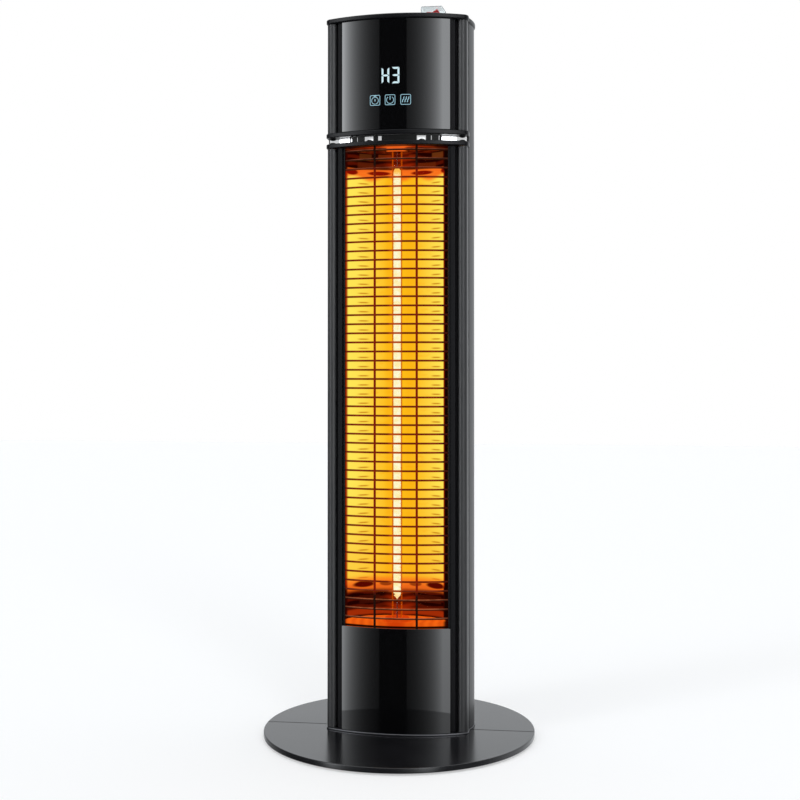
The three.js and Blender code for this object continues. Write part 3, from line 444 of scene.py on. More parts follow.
front_half = arc(0, arc_y, FRONT_R, -90, bead_turn, 28) + arc(BEAD_X, bead_y, BEAD_R, bead_turn, 0, 8)[1:]
front_half += [(post_x, SHELL_FRONT_Y - SEAT)]
shell_half = shell_x + SHELL_FLARE
wide = (shell_half, SHELL_WIDE_Y)
flare = (shell_x + 0.6 * SHELL_FLARE, SHELL_FRONT_Y + 0.008)
round_in = (shell_half, SHELL_WIDE_Y + 0.62 * (SHELL_BACK_Y - SHELL_WIDE_Y))
round_out = (SHELL_FLAT + 0.62 * (shell_half - SHELL_FLAT), SHELL_BACK_Y)
back_half = bezier((shell_x, SHELL_FRONT_Y), flare, (shell_half, SHELL_WIDE_Y - 0.009), wide, 8)
back_half += bezier(wide, round_in, round_out, (SHELL_FLAT, SHELL_BACK_Y), 20)[1:]
shell_path = back_half + mirrored(back_half)
column_loop = mirrored(front_half)[:-1] + front_half + shell_path

foot_low, foot_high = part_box("foot_plate")
FOOT_T, BOSS_R = 0.0016, 0.006
foot = prism(shifted(column_loop, FOOT_PROUD, True), soft_rings(foot_low.z, foot_low.z + FOOT_T, 0.0003, 1))
for px, py in SCREW_SPOTS:
    boss = [(SCREW_HOLE_R, foot_low.z + FOOT_T), (BOSS_R, foot_low.z + FOOT_T), (BOSS_R, foot_high.z)]
    lathe(boss + [(SCREW_HOLE_R, foot_high.z), boss[0]], (px, py, 0), sides=24, bm=foot)
rim_steel, rim_paint = finish("bare_rim", (0.17, 0.17, 0.18), 0.3, 1.0)
rim_cloud = rim_paint.grain(0.004)
rim_paint.plug(rim_paint.shader["Roughness"], 0.22 + rim_cloud * 0.2)
piece("foot_rim_plate", mesh_of("foot_rim_plate", foot), rim_steel, ["foot_plate"])


# ---- Corner posts: four aluminium extrusions, black
# A round bead outside, a sunk flat strip beside the glass, a tongue that slips into the shell.
WALL = 0.0016
GLASS_HALF, GLASS_T = 0.0662, 0.004
LEDGE_X = 0.0632
STRIP_SINK, STRIP_END, GROOVE = 0.0022, 0.0712, 0.0012
TONGUE = 0.013
ledge_r = FRONT_R - GLASS_T - SEAT - WALL / 2
strip_r = FRONT_R - STRIP_SINK - WALL / 2
step_x = GLASS_HALF + SEAT + WALL / 2
bead_mid = BEAD_R - WALL / 2
groove_x = BEAD_X - BEAD_R - GROOVE - WALL / 2 + 0.0006
tongue_x = shell_x - SHELL_T - SEAT - WALL / 2
tongue_y = SHELL_FRONT_Y - SEAT
post_path = [(LEDGE_X, on_front(ledge_r, LEDGE_X)), (step_x, on_front(ledge_r, step_x))]
post_path += [(step_x, on_front(strip_r, step_x)), (STRIP_END, on_front(strip_r, STRIP_END))]
post_path += [(groove_x, bead_y + bead_mid * math.sin(math.radians(195)))]
post_path += arc(BEAD_X, bead_y, bead_mid, 195, 360, 30)
post_path += [
    (BEAD_X + bead_mid, tongue_y - WALL), (tongue_x, tongue_y - WALL / 2 + 0.0004),
    (tongue_x, tongue_y + TONGUE)
]


def strip(path, thickness):
    return shifted(path, thickness / 2) + shifted(path, -thickness / 2)[::-1]


post_black, post_paint = finish(
    "anodised_posts", (0.006, 0.006, 0.007), 0.5, IOR=1.22, Coat_Roughness=0.50, Coat_IOR=1.75
)
x, y, z = post_paint.place()
on_bead = abs(x).rise(0.0735, 0.0755)
drawn = post_paint.grain(0.0012, 2.0, (1, 1, 0.004))
post_paint.plug(post_paint.shader["Coat Weight"], on_bead * (0.97 + drawn * 0.03))
post_paint.plug(post_paint.shader["Roughness"], 0.49 + drawn * 0.03)
post_paint.plug(
    post_paint.shader["Base Color"], post_paint.mix(drawn, (0.005, 0.005, 0.006), (0.007, 0.007, 0.008))
)
for node in ("lower_post_left", "lower_post_right", "head_post_left", "head_post_right"):
    low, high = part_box(node)
    outline = strip(post_path, WALL)
    outline = mirrored(outline) if "left" in node else outline
    post = mesh_of(node, prism(outline, soft_rings(low.z, high.z, 0.00015, 1)))
    piece(node.replace("post", "corner_post"), post, post_black, [node])


# ---- Rear shell: one full-height sheet spine with rows of vent slots in its flat back
# Rolled steel sheet, satin black powder coat with a faint grain.
VENT_W, VENT_H, VENT_PITCH, VENT_X = 0.034, 0.003, 0.008, 0.024
GLAND_X, GLAND_R = 0.038, 0.007
shell_low, shell_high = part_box("rear_shell")
plate_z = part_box("body_top_plate")[0].z
head_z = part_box("head_glass")[0].z
gland_z = sum(corner.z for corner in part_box("cable_gland")) / 2
FOOT_VENTS_UP, BODY_VENTS_DOWN, HEAD_VENTS_UP = 0.060, 0.140, 0.034
through_back = (SHELL_BACK_Y - 0.004, SHELL_BACK_Y + 0.002)
shell = prism(
    strip(shifted(shell_path, -SHELL_T / 2), SHELL_T), soft_rings(shell_low.z, shell_high.z, 0.0003, 1)
)
slots = bmesh.new()


def across(points, y_from, y_to, bm):
    """A prism along Y whose outline is given as (x, z)."""
    ends = [[bm.verts.new((px, y_at, pz)) for px, pz in points] for y_at in (y_from, y_to)]
    for i in range(len(points)):
        k = (i + 1) % len(points)
        bm.faces.new((ends[0][i], ends[0][k], ends[1][k], ends[1][i]))
    bm.faces.new(ends[0][::-1])
    bm.faces.new(ends[1])
    return bm


vent_groups = [
    (shell_low.z + FOOT_VENTS_UP, 5), (plate_z - BODY_VENTS_DOWN, 6), (head_z + HEAD_VENTS_UP, 5)
]
for start, rows in vent_groups:
    for row in range(rows):
        for side in (-1, 1):
            reach = VENT_W / 2 - VENT_H / 2
            px = side * VENT_X
            ends = arc(px + reach, start + row * VENT_PITCH, VENT_H / 2, -90, 90, 8)
            ends += arc(px - reach, start + row * VENT_PITCH, VENT_H / 2, 90, 270, 8)
            across(ends, *through_back, slots)
across(arc(GLAND_X, gland_z, GLAND_R + 0.0003, 0, 345, 23), *through_back, slots)
shell_black = coated("powder_coat_shell", (0.012, 0.012, 0.013), 0.38, 0.08, 0.0007, 0.000012)
piece(
    "rear_spine", mesh_of("rear_spine", shell), shell_black, ["rear_shell"],
    cutter=mesh_of("slots", slots)
)


# ---- Neck plates and top cap: cast plates with rounded rims, satin black
# The two plates close the body and the head; the cap covers head and shell together.
PLATE_PROUD, PLATE_EDGE = 0.0016, 0.0012
CAP_PROUD, CAP_EDGE, CAP_HOLLOW, CAP_WALL = 0.0015, 0.0018, 0.0034, 0.004
TUBE_Y, TUBE_HOLE_R = -0.018, 0.01035
SLEEVE_SPOT, SLEEVE_HOLE = (-0.060, 0.041), 0.00435
cast_black = coated("satin_plates", (0.004, 0.004, 0.005), 0.33, 0.08, 0.0008, 0.00001, IOR=1.32)
plate_front = shifted(front_half, PLATE_PROUD)
shell_inside = shifted(shell_path, -(SHELL_T + SEAT))
plate_loop = mirrored(plate_front)[:-1] + plate_front + shell_inside


def through_plate(radius, low_z, high_z):
    """Profile of a round cutter that passes through a plate."""
    return [(0, low_z - PAST), (radius, low_z - PAST), (radius, high_z + PAST), (0, high_z + PAST)]


for node in ("body_top_plate", "head_bottom_plate"):
    low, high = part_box(node)
    plate = mesh_of(node, prism(plate_loop, soft_rings(low.z, high.z, PLATE_EDGE, 4)))
    hole = lathe(through_plate(SLEEVE_HOLE, low.z, high.z), (*SLEEVE_SPOT, 0), sides=24)
    if node == "body_top_plate":
        lathe(through_plate(TUBE_HOLE_R, low.z, high.z), (0, TUBE_Y, 0), sides=32, bm=hole)
    piece(
        node.replace("_plate", "_flange"), plate, cast_black, [node], cutter=mesh_of("hole", hole)
    )

SWITCH_X, SWITCH_Y, SWITCH_W, SWITCH_D = 0.0445, -0.007, 0.0257, 0.0183
cap_low, cap_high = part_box("top_cap")
cap_rings = soft_rings(cap_low.z, cap_high.z, CAP_EDGE, 5)
cap = mesh_of("top_cap", prism(shifted(column_loop, CAP_PROUD, True), cap_rings))
cap_cut = prism(shifted(column_loop, -CAP_WALL, True), [(0, cap_low.z - PAST), (0, cap_low.z + CAP_HOLLOW)])
w, d = SWITCH_W / 2, SWITCH_D / 2
opening = [
    (SWITCH_X - w, SWITCH_Y - d), (SWITCH_X + w, SWITCH_Y - d), (SWITCH_X + w, SWITCH_Y + d),
    (SWITCH_X - w, SWITCH_Y + d)
]
prism(opening, [(0, cap_low.z + PAST), (0, cap_high.z + 2 * PAST)], cap_cut)
piece("cap", cap, cast_black, ["top_cap"], cutter=mesh_of("cap_cut", cap_cut))


# ---- Neck: polished band, black comb with windows, dome screws
# The band shows through the comb's windows and at both corners, where the plate screws stand.
# It glows a little with a painted glow, because hardly any light reaches into the narrow gap.
polished, polished_paint = finish("satin_band_painted_glow", (0.97, 0.97, 0.98), 0.14, 0.85, Emission_Strength=0.6)
smear_and_glow_grain = polished_paint.grain(0.003, 3.0, (0.2, 1, 1))
polished_paint.plug(polished_paint.shader["Roughness"], 0.10 + smear_and_glow_grain * 0.10)
# The band's emission colour is painted light, made paler or greyer by the polish smear.
polished_paint.plug(
    polished_paint.shader["Emission Color"], polished_paint.mix(smear_and_glow_grain, (0.84, 0.87, 0.90), (1.0, 1.0, 1.0))
)
dressed(polished, "neck_band")
comb_black = coated("moulded_black", (0.004, 0.004, 0.004), 0.45, 0.1, 0.0005, 0.00002, IOR=1.3)
dressed(comb_black, "neck_comb", "switch_body", "thermal_cutout", "terminal_block", "tilt_switch")


class Plan:
    """A Geometry Nodes tree with named sizes; grow() turns it into a plain mesh."""

    def __init__(self, name, sizes):
        self.tree = bpy.data.node_groups.new(name, "GeometryNodeTree")
        self.sizes = sizes
        kinds = {int: "NodeSocketInt", float: "NodeSocketFloat"}
        self.tree.interface.new_socket("Geometry", in_out="INPUT", socket_type="NodeSocketGeometry")
        for label, value in sizes.items():
            kind = kinds.get(type(value), "NodeSocketObject")
            self.tree.interface.new_socket(label, in_out="INPUT", socket_type=kind)
        self.tree.interface.new_socket("Geometry", in_out="OUTPUT", socket_type="NodeSocketGeometry")
        self.entry = self.tree.nodes.new("NodeGroupInput")

    def size(self, label):
        return self.entry.outputs[label]

    def node(self, kind, values=None, out=0, **settings):
        made = self.tree.nodes.new("GeometryNode" + kind)
        for key, value in settings.items():
            setattr(made, key, value)
        for key, value in (values or {}).items():
            if isinstance(value, bpy.types.NodeSocket):
                self.tree.links.new(value, made.inputs[key])
            else:
                made.inputs[key].default_value = value
        return made.outputs[out]

    def grow(self, name, shapes, look, start=None):
        join = self.tree.nodes.new("GeometryNodeJoinGeometry")
        for shape in shapes:
            self.tree.links.new(shape, join.inputs[0])
        real = self.node("RealizeInstances", {0: join.outputs[0]})
        painted = self.node("SetMaterial", {0: real, "Material": look})
        leave = self.tree.nodes.new("NodeGroupOutput")
        self.tree.links.new(painted, leave.inputs[0])
        obj = bpy.data.objects.new(name, start or bpy.data.meshes.new(name))
        scene.collection.objects.link(obj)
        growth = obj.modifiers.new(name, "NODES")
        growth.node_group = self.tree
        for item in self.tree.interface.items_tree:
            if item.in_out == "INPUT" and item.name in self.sizes:
                growth[item.identifier] = self.sizes[item.name]
        applied(obj)
        mesh = obj.data
        bpy.data.objects.remove(obj)
        return mesh


def scattered(name, pattern, spots, look):
    """Copies of a pattern mesh on a list of spots."""
    model = bpy.data.objects.new(name + "_pattern", pattern)
    scene.collection.objects.link(model)
    plan = Plan(name, {"Pattern": model})
    one = plan.node("ObjectInfo", {"Object": plan.size("Pattern")}, out="Geometry")
    points = plan.node("MeshToPoints", {"Mesh": plan.size("Geometry")})
    copies = plan.node("InstanceOnPoints", {"Points": points, "Instance": one})
    start = bpy.data.meshes.new(name + "_spots")
    start.from_pydata(spots, [], [])
    mesh = plan.grow(name, [copies], look, start)
    bpy.data.objects.remove(model)
    return mesh


SHANK_R, DOME_SHANK, DOME_RISE, DOME_RIM = 0.002, 0.005, 0.0025, 0.28
SOCKET_R, SOCKET_FOOT_R, SOCKET_FLOOR = 0.0014, 0.0013, 0.4
CORNER_SCREW_R, NECK_SCREW_R = 0.0042, 0.0038


def dome_screw(radius, flip):
    """A black dome head with a hexagon socket, head up, or down where flip is -1."""
    turns = [math.radians(t) for t in range(0, 75, 12)]
    curve = [(radius * math.cos(t), DOME_RISE * (DOME_RIM + (1 - DOME_RIM) * math.sin(t))) for t in turns]
    profile = [(0, -DOME_SHANK), (SHANK_R, -DOME_SHANK), (SHANK_R, SEAT), (radius, SEAT)] + curve
    profile += [
        (SOCKET_R, curve[-1][1]), (SOCKET_FOOT_R, DOME_RISE * SOCKET_FLOOR), (0, DOME_RISE * SOCKET_FLOOR)
    ]
    profile = [(r, flip * h) for r, h in profile]
    return mesh_of("dome_screw", lathe(profile, sides=24))


neck_low, neck_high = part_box("neck_band")
neck_screw_low, neck_screw_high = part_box("neck_screw_right")
neck_screw_y = (neck_screw_low.y + neck_screw_high.y) / 2
NECK_SCREW_X = 0.032
upward = [(s * BEAD_X, bead_y, neck_low.z - SEAT) for s in (-1, 1)]
downward = [(s * BEAD_X, bead_y, neck_high.z + SEAT) for s in (-1, 1)]
piece(
    "body_corner_screws",
    scattered("body_corner_screws", dome_screw(CORNER_SCREW_R, 1), upward, comb_black), comb_black,
    ["body_corner_screw_left", "body_corner_screw_right"]
)
piece(
    "head_corner_screws",
    scattered("head_corner_screws", dome_screw(CORNER_SCREW_R, -1), downward, comb_black), comb_black,
    ["head_corner_screw_left", "head_corner_screw_right"]
)
standing_screws = [(s * NECK_SCREW_X, neck_screw_y, neck_low.z - SEAT) for s in (-1, 1)]
piece(
    "neck_screws", scattered("neck_screws", dome_screw(NECK_SCREW_R, 1), standing_screws, comb_black),
    comb_black, ["neck_screw_left", "neck_screw_right"]
)


# ---- Curved glass panels of head and foot
# Tempered glass, printed black behind, with ground edges; it mirrors the two soft panels.
black_glass, glass_paint = finish("black_glass", (0.0015, 0.0015, 0.0018), 0.03, 0.0, IOR=1.62)
cloud = glass_paint.grain(0.12, 1.0)
glass_paint.plug(glass_paint.shader["Roughness"], 0.025 + cloud * 0.02)
for node in ("head_glass", "lower_glass"):
    low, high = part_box(node)
    outer = math.degrees(math.asin(GLASS_HALF / FRONT_R))
    inner = math.degrees(math.asin(GLASS_HALF / (FRONT_R - GLASS_T)))
    outline = arc(0, arc_y, FRONT_R, -90 - outer, -90 + outer, 64)
    outline += arc(0, arc_y, FRONT_R - GLASS_T, -90 + inner, -90 - inner, 64)
    pane = mesh_of(node, prism(outline, soft_rings(low.z, high.z, 0.0005, 3)))
    piece(node.replace("glass", "pane"), pane, black_glass, [node], sharp=50)


# ---- Read-out and touch icons behind the head glass
# White seven-segment digits and three pale blue touch fields shine through the black print.
PROUD = 0.00012


def shining(name, colour):
    look, paint = finish(name, (0.02, 0.02, 0.02), 0.3, Emission_Strength=1.0)
    cloudy = paint.grain(0.002)
    low_tone = tuple(0.86 * c for c in colour)
    paint.plug(paint.shader["Emission Color"], paint.mix(cloudy, low_tone, colour))
    return look


def on_glass(shapes, name, look, finest=0.0012):
    """Thin shapes of (x, z) points laid on the curved front of the head glass."""
    bm = bmesh.new()
    for points in shapes:
        ends = []
        for radius in (FRONT_R + PROUD, FRONT_R - PROUD):
            ends.append([bm.verts.new((px, on_front(radius, px), pz)) for px, pz in points])
        n = len(points)
        for i in range(n):
            k = (i + 1) % n
            bm.faces.new((ends[0][i], ends[0][k], ends[1][k], ends[1][i]))
        bm.faces.new(ends[0][::-1])
        bm.faces.new(ends[1])
    return piece(name, mesh_of(name, bm), look, sharp=20)


DIGIT_W, DIGIT_H, DIGIT_Z = 0.0094, 0.0197, 0.8035
DIGIT_LEFT = {"H": -0.0158, "3": -0.0034}
SEGMENT = 0.0023
gap = 0.0004
segments_of = {"H": "bcefg", "3": "abcdg"}


def segment(letter, left):
    """One segment of a digit, each with its own slanted or rounded ends."""
    right, mid = left + DIGIT_W, DIGIT_Z
    top, bottom, t = mid + DIGIT_H / 2, mid - DIGIT_H / 2, SEGMENT
    if letter in "ad":
        s, end = (1, top) if letter == "a" else (-1, bottom)
        return [(left + gap, end), (left + 0.6 * t, end - 0.55 * s * t), (left + t + gap, end - s * t)] + [
            (right - t - gap, end - s * t), (right - 0.6 * t, end - 0.55 * s * t), (right - gap, end)]
    if letter == "g":
        half = DIGIT_W / 2 - 0.45 * t
        return [
            (left + DIGIT_W / 2 + half * math.cos(a), mid + t / 2 * math.sin(a))
            for a in np.linspace(0, 2 * math.pi, 20, endpoint=False)
        ]
    edge, inward = (right, -1) if letter in "bc" else (left, 1)
    end, s = (top, 1) if letter in "bf" else (bottom, -1)
    return [
        (edge, end - s * 1.3 * gap), (edge + inward * t, end - s * (t + 0.4 * gap)),
        (edge + inward * t, mid + s * (t / 2 + 0.6 * gap)), (edge, mid + s * gap)
    ]


digits = [segment(letter, DIGIT_LEFT[d]) for d in "H3" for letter in segments_of[d]]
on_glass(digits, "read_out", shining("read_out_white", (0.66, 0.88, 0.95)))

ICON, ICON_Z, ICON_LINE, ICON_STROKE, ICON_BOLD = 0.0120, 0.7739, 0.00062, 0.0008, 0.0009
icon_x = {"timer": -0.0240, "power": -0.0054, "heat": 0.0136}


def ring_line(cx, cz, r, start, end, width):
    """An open ring as a closed outline."""
    return strip(arc(cx, cz, r, start, end, 24), width)


icons = []
for cx in icon_x.values():
    half, corner = ICON / 2, 0.0015
    frame_path = []
    for kx, kz, turn_from in ((1, 1, 0), (-1, 1, 90), (-1, -1, 180), (1, -1, 270)):
        frame_path += arc(
            cx + kx * (half - corner), ICON_Z + kz * (half - corner), corner, turn_from, turn_from + 90, 5
        )
    split = len(frame_path) // 2
    icons.append(strip(frame_path[: split + 1], ICON_LINE))
    icons.append(strip(frame_path[split:] + frame_path[:1], ICON_LINE))
cx = icon_x["timer"]
icons.append(ring_line(cx, ICON_Z - 0.0004, 0.0042, -85, 88, ICON_LINE))
icons.append(ring_line(cx, ICON_Z - 0.0004, 0.0042, 92, 268, ICON_LINE))
icons.append(strip([(cx - 0.0016, ICON_Z + 0.0051), (cx + 0.0016, ICON_Z + 0.0051)], ICON_BOLD))
icons.append(strip([(cx, ICON_Z - 0.0012), (cx, ICON_Z + 0.0014)], ICON_BOLD))
cx = icon_x["power"]
icons.append(ring_line(cx, ICON_Z - 0.0002, 0.0043, 125, 415, ICON_LINE))
icons.append(strip([(cx, ICON_Z), (cx, ICON_Z + 0.0046)], ICON_STROKE))
cx = icon_x["heat"]
for k in (-1, 0, 1):
    wave = [
        (cx + 0.0030 * k + 0.0014 * t + 0.00040 * math.sin(math.pi * 2 * t), ICON_Z + 0.0033 * t)
        for t in np.linspace(-1, 1, 9)
    ]
    icons.append(strip(wave, ICON_STROKE))
on_glass(icons, "touch_icons", shining("icon_blue", (0.36, 0.64, 0.76)))


# ---- Wire guard: curved wires welded in front of two uprights
# Thin steel wire, black enamel; the red where the element's light strikes through is painted glow, with
# painted edge glow, glints and lit tops.
WIRE_R, UPRIGHT_R, WIRE_PITCH = 0.00075, 0.001, 0.01113
ENAMEL = 0.00044  # coat of enamel and glow round every wire
WIRE_FIRST, WIRE_LAST, WIRE_SINK = 0.0106, 0.0042, 0.00035
UPRIGHT_X, GUARD_HALF = 0.0257, 0.0652
glass_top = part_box("lower_glass")[1].z
guard_low, guard_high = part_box("wire_guard")
guard_r = ledge_r - WALL / 2 - SEAT - WIRE_R
upright_ring = guard_r - WIRE_R - UPRIGHT_R + WIRE_SINK
first_wire = glass_top + WIRE_FIRST
wire_count = 1 + int((plate_z - WIRE_LAST - first_wire) / WIRE_PITCH)
half_turn = math.asin(GUARD_HALF / guard_r)
HOT_LOW, HOT_HIGH = 0.183, 0.692  # heights between which the element glows

enamel, enamel_paint = finish(
    "guard_enamel_painted_glow", (0.005, 0.002, 0.001), 0.42, Emission_Strength=1.0, Specular_IOR_Level=0.08
)
x, y, z = enamel_paint.place()
# Painted light: the wires glow red in front of the element's hot zone.
lit = z.rise(HOT_LOW - 0.010, HOT_LOW + 0.002) * (1 - z.rise(HOT_HIGH - 0.006, HOT_HIGH + 0.006))
upright = 1 - abs(abs(x) - UPRIGHT_X).rise(0.0012, 0.0018)
middle = 1 - abs(x).rise(0.004, 0.0105)
side_glow = 1 - abs(abs(x) - 0.0455).rise(0.003, 0.010)
# Painted edge glow and painted glints on the wires.
rim = enamel_paint.node("LayerWeight", {"Blend": 0.5}, out="Facing").rise(0.55, 1.0)
glint = enamel_paint.grain(0.011, 2.0, (1, 1, 3)).rise(0.30, 0.62)
# Painted glow of the wires' cores, brighter on the uprights, near the tube and at the sides.
core = enamel_paint.mix(upright, (0.14, 0.008, 0.0), (0.19, 0.006, 0.0))
core = enamel_paint.mix(middle * 0.85 + side_glow * 0.2, core, (0.48, 0.06, 0.004))
edge_glow_tone = enamel_paint.mix(middle, (0.52, 0.13, 0.004), (0.85, 0.30, 0.06))
glow_in_hot_zone = enamel_paint.mix(rim, core, edge_glow_tone)
# Painted shade where the wires pass in front of the posts.
beyond = x.rise(0.0545, 0.0575) + (-x).rise(0.0615, 0.0645)
glow_in_hot_zone = enamel_paint.mix(beyond, glow_in_hot_zone, (0.04, 0.002, 0.0))
# Painted highlight on the wires' upper sides in the cold ends, painted shade elsewhere, darker on the
# uprights and towards the sides.
top_highlight_tone = enamel_paint.mix(z.rise(0.3, 0.5), (0.50, 0.13, 0.05), (0.36, 0.10, 0.05))
lit_above = enamel_paint.place("Normal")[2].rise(0.15, 0.7)
light_in_cold_zone = enamel_paint.mix(lit_above * (0.45 + glint * 0.55), (0.018, 0.002, 0.0005), top_highlight_tone)
light_in_cold_zone = enamel_paint.mix(upright, light_in_cold_zone, (0.010, 0.002, 0.001))
light_in_cold_zone = enamel_paint.mix(abs(x).rise(0.045, 0.066) * 0.7, light_in_cold_zone, (0.02, 0.003, 0.001))
enamel_paint.plug(enamel_paint.shader["Emission Color"], enamel_paint.mix(lit, light_in_cold_zone, glow_in_hot_zone))
speckle = enamel_paint.grain(0.0008)
enamel_paint.plug(enamel_paint.shader["Roughness"], 0.34 + speckle * 0.2)

guard_sizes = {
    "Wires": wire_count, "Pitch": WIRE_PITCH, "Wire radius": WIRE_R + ENAMEL, "Bend radius": guard_r
}
guard_sizes |= {
    "Start": -math.pi / 2 - half_turn, "Sweep": 2 * half_turn, "Upright radius": UPRIGHT_R + ENAMEL
}
guard = Plan("wire_guard", guard_sizes)
bend_values = {
    "Resolution": 33, "Radius": guard.size("Bend radius"), "Start Angle": guard.size("Start"),
    "Sweep Angle": guard.size("Sweep")
}
bend = guard.node("CurveArc", bend_values, mode="RADIUS")
wire_round = guard.node("CurvePrimitiveCircle", {"Resolution": 8, "Radius": guard.size("Wire radius")})
wire = guard.node("CurveToMesh", {"Curve": bend, "Profile Curve": wire_round, "Fill Caps": True})
ladder = guard.node(
    "MeshLine",
    {"Count": guard.size("Wires"), "Start Location": (0, arc_y, first_wire), "Offset": (0, 0, WIRE_PITCH)}
)
wires = guard.node("InstanceOnPoints", {"Points": ladder, "Instance": wire})
post_line = guard.node("CurvePrimitiveLine", {"Start": (0, 0, guard_low.z), "End": (0, 0, guard_high.z)})
post_round = guard.node("CurvePrimitiveCircle", {"Resolution": 10, "Radius": guard.size("Upright radius")})
post_wire = guard.node("CurveToMesh", {"Curve": post_line, "Profile Curve": post_round, "Fill Caps": True})
pair = guard.node(
    "MeshLine",
    {
        "Count": 2, "Start Location": (-UPRIGHT_X, on_front(upright_ring, UPRIGHT_X), 0),
        "Offset": (2 * UPRIGHT_X, 0, 0)
    }
)
uprights = guard.node("InstanceOnPoints", {"Points": pair, "Instance": post_wire})
piece("guard_wires", guard.grow("guard_wires", [wires, uprights], enamel), enamel, ["wire_guard"])


# ---- Reflector: folded trough of polished sheet between a deck and a roof plate
# It carries the element's golden light as a fixed pattern of painted glow, with small side marks at the
# wires' pitch that are painted reflections of the wires; both ends stay dark red and show painted scalloped
# reflections.
reflector_painted_glow, gold = finish(
    "glowing_reflector", (0.003, 0.001, 0.0004), 0.35, 1.0, Emission_Strength=1.0,
    Specular_Tint=(0.05, 0.01, 0.0)
)
x, y, z = gold.place()
out = abs(x)
wave = (x * 170).math("COSINE") * 0.0012
hot = (
    (z + wave).rise(HOT_LOW - 0.0045, HOT_LOW + 0.0025)
    * (1 - (z - wave).rise(HOT_HIGH - 0.0015, HOT_HIGH + 0.0035)))
long_cloud = gold.grain(0.05, 2.0, (1, 1, 2.5))
fold_cloud = gold.grain(0.016, 3.0, (1, 1, 3))
# Painted reflection of the glowing element: yellower away from the tube, more orange towards the lower end,
# with darker orange streaks and a darker line near the tube.
yellow = out.rise(0.008, 0.064) + (long_cloud - 0.5) * 0.30
golden = gold.mix(yellow, (0.985, 0.505, 0.008), (1.0, 0.80, 0.095))
ends_dim = 1 - z.rise(HOT_LOW, HOT_LOW + 0.13)
golden = gold.mix(ends_dim * 0.5, golden, (0.97, 0.43, 0.010))
golden = gold.mix(
    fold_cloud.rise(0.52, 0.78) * 0.40 * (1 - out.rise(0.03, 0.045)), golden, (0.98, 0.36, 0.004)
)
near_line = 1 - abs(out - 0.0125).rise(0.003, 0.010)
golden = gold.mix(near_line * 0.35, golden, (0.96, 0.40, 0.006))
# The side marks are painted reflections of the guard's wires, one at each wire's pitch.
WIRE_REFLECTION_PITCH = 0.01138
WIRE_REFLECTION_START = 0.44603  # height of one gap between two marks
phase = ((z - WIRE_REFLECTION_START) / WIRE_REFLECTION_PITCH).math("FRACT")
line = 1 - abs(phase - 0.5).rise(0.03, 0.12)
spot = 1 - abs(out - 0.0455).rise(0.002, 0.0085)
golden = gold.mix(line * spot * 0.8, golden, (0.55, 0.17, 0.003))


def lens_mask(cx, rx, cz, rz):
    """1 inside an ellipse on the reflector at both sides of its middle."""
    fx, fz = (out - cx) / rx, (z - cz) / rz
    return 1 - (fx * fx + fz * fz).rise(0.5, 1.3)


def block_mask(left, right, low, high):
    """1 inside an upright block of the cold ends, with soft sides."""
    across_mask = x.rise(left - 0.001, left + 0.001) * (1 - x.rise(right - 0.001, right + 0.001))
    return across_mask * z.rise(low - 0.0006, low + 0.0006) * (1 - z.rise(high - 0.0006, high + 0.0006))


# The cold ends carry painted reflections: dark red bands, scalloped lenses and upright blocks, brighter
# near the tube and on the deck's edge.
lens_red = gold.mix(z.rise(0.3, 0.5), (0.09, 0.002, 0.0), (0.22, 0.004, 0.0))
bands = (((z + wave) * 700).math("SINE") * 0.5 + 0.5) * 0.55 + fold_cloud * 0.45
cold = gold.mix(bands.rise(0.35, 0.75), (0.014, 0.0004, 0.0001), (0.085, 0.005, 0.0004))
for left, right, low, high, tone in (
    (-0.052, -0.034, 0.698, 0.706, (0.10, 0.012, 0.002)),
    (0.022, 0.045, 0.697, 0.705, (0.13, 0.016, 0.002)),
    (-0.050, -0.036, 0.7085, 0.7165, (0.10, 0.022, 0.004)),
    (-0.028, -0.012, 0.7085, 0.7165, (0.15, 0.020, 0.002)),
    (0.040, 0.055, 0.7085, 0.7165, (0.15, 0.035, 0.006)),
    (0.010, 0.020, 0.7085, 0.7165, (0.12, 0.012, 0.001)),
    (-0.050, -0.026, 0.158, 0.168, (0.05, 0.004, 0.001)),
    (0.020, 0.052, 0.160, 0.169, (0.06, 0.005, 0.001))):
    cold = gold.mix(block_mask(left, right, low, high) * 0.75, cold, tone)
near_tube = 1 - out.rise(0.008, 0.024)
cold = gold.mix(near_tube * bands * 0.8, cold, (0.40, 0.022, 0.001))
deck_glow = z.rise(0.143, 0.146) * (1 - z.rise(0.150, 0.154))
cold = gold.mix(deck_glow * 0.9, cold, (0.37, 0.026, 0.002))
# Painted orange rims at the hot zone's edges, and painted red rims with painted shade at both sides.
low_rim = z.rise(HOT_LOW - 0.011, HOT_LOW - 0.005) * (1 - z.rise(HOT_LOW + 0.002, HOT_LOW + 0.012))
high_rim = (
    (z + wave * 2).rise(HOT_HIGH - 0.010, HOT_HIGH - 0.003)
    * (1 - z.rise(HOT_HIGH + 0.004, HOT_HIGH + 0.0065)))
painted = gold.mix(hot, cold, golden)
painted = gold.mix(high_rim * 0.95 + low_rim * 0.85, painted, (0.95, 0.155, 0.012))
lenses = (
    lens_mask(0.0445, 0.0125, HOT_LOW - 0.001, 0.0042) + lens_mask(0.0185, 0.008, HOT_LOW - 0.001, 0.003)
    * 0.7)
lenses = (
    lenses + lens_mask(0.027, 0.0145, HOT_HIGH + 0.0008, 0.0028)
    + lens_mask(0.0585, 0.007, HOT_HIGH + 0.001, 0.004))
painted = gold.mix(lenses, painted, lens_red)
left_rim, right_rim = (-x).rise(0.0612, 0.0634), x.rise(0.0546, 0.0562)
painted = gold.mix(left_rim + right_rim, painted, gold.mix(hot, (0.03, 0.001, 0.0), (0.36, 0.012, 0.0)))
left_dark, right_dark = (-x).rise(0.0630, 0.0655), x.rise(0.0556, 0.0578)
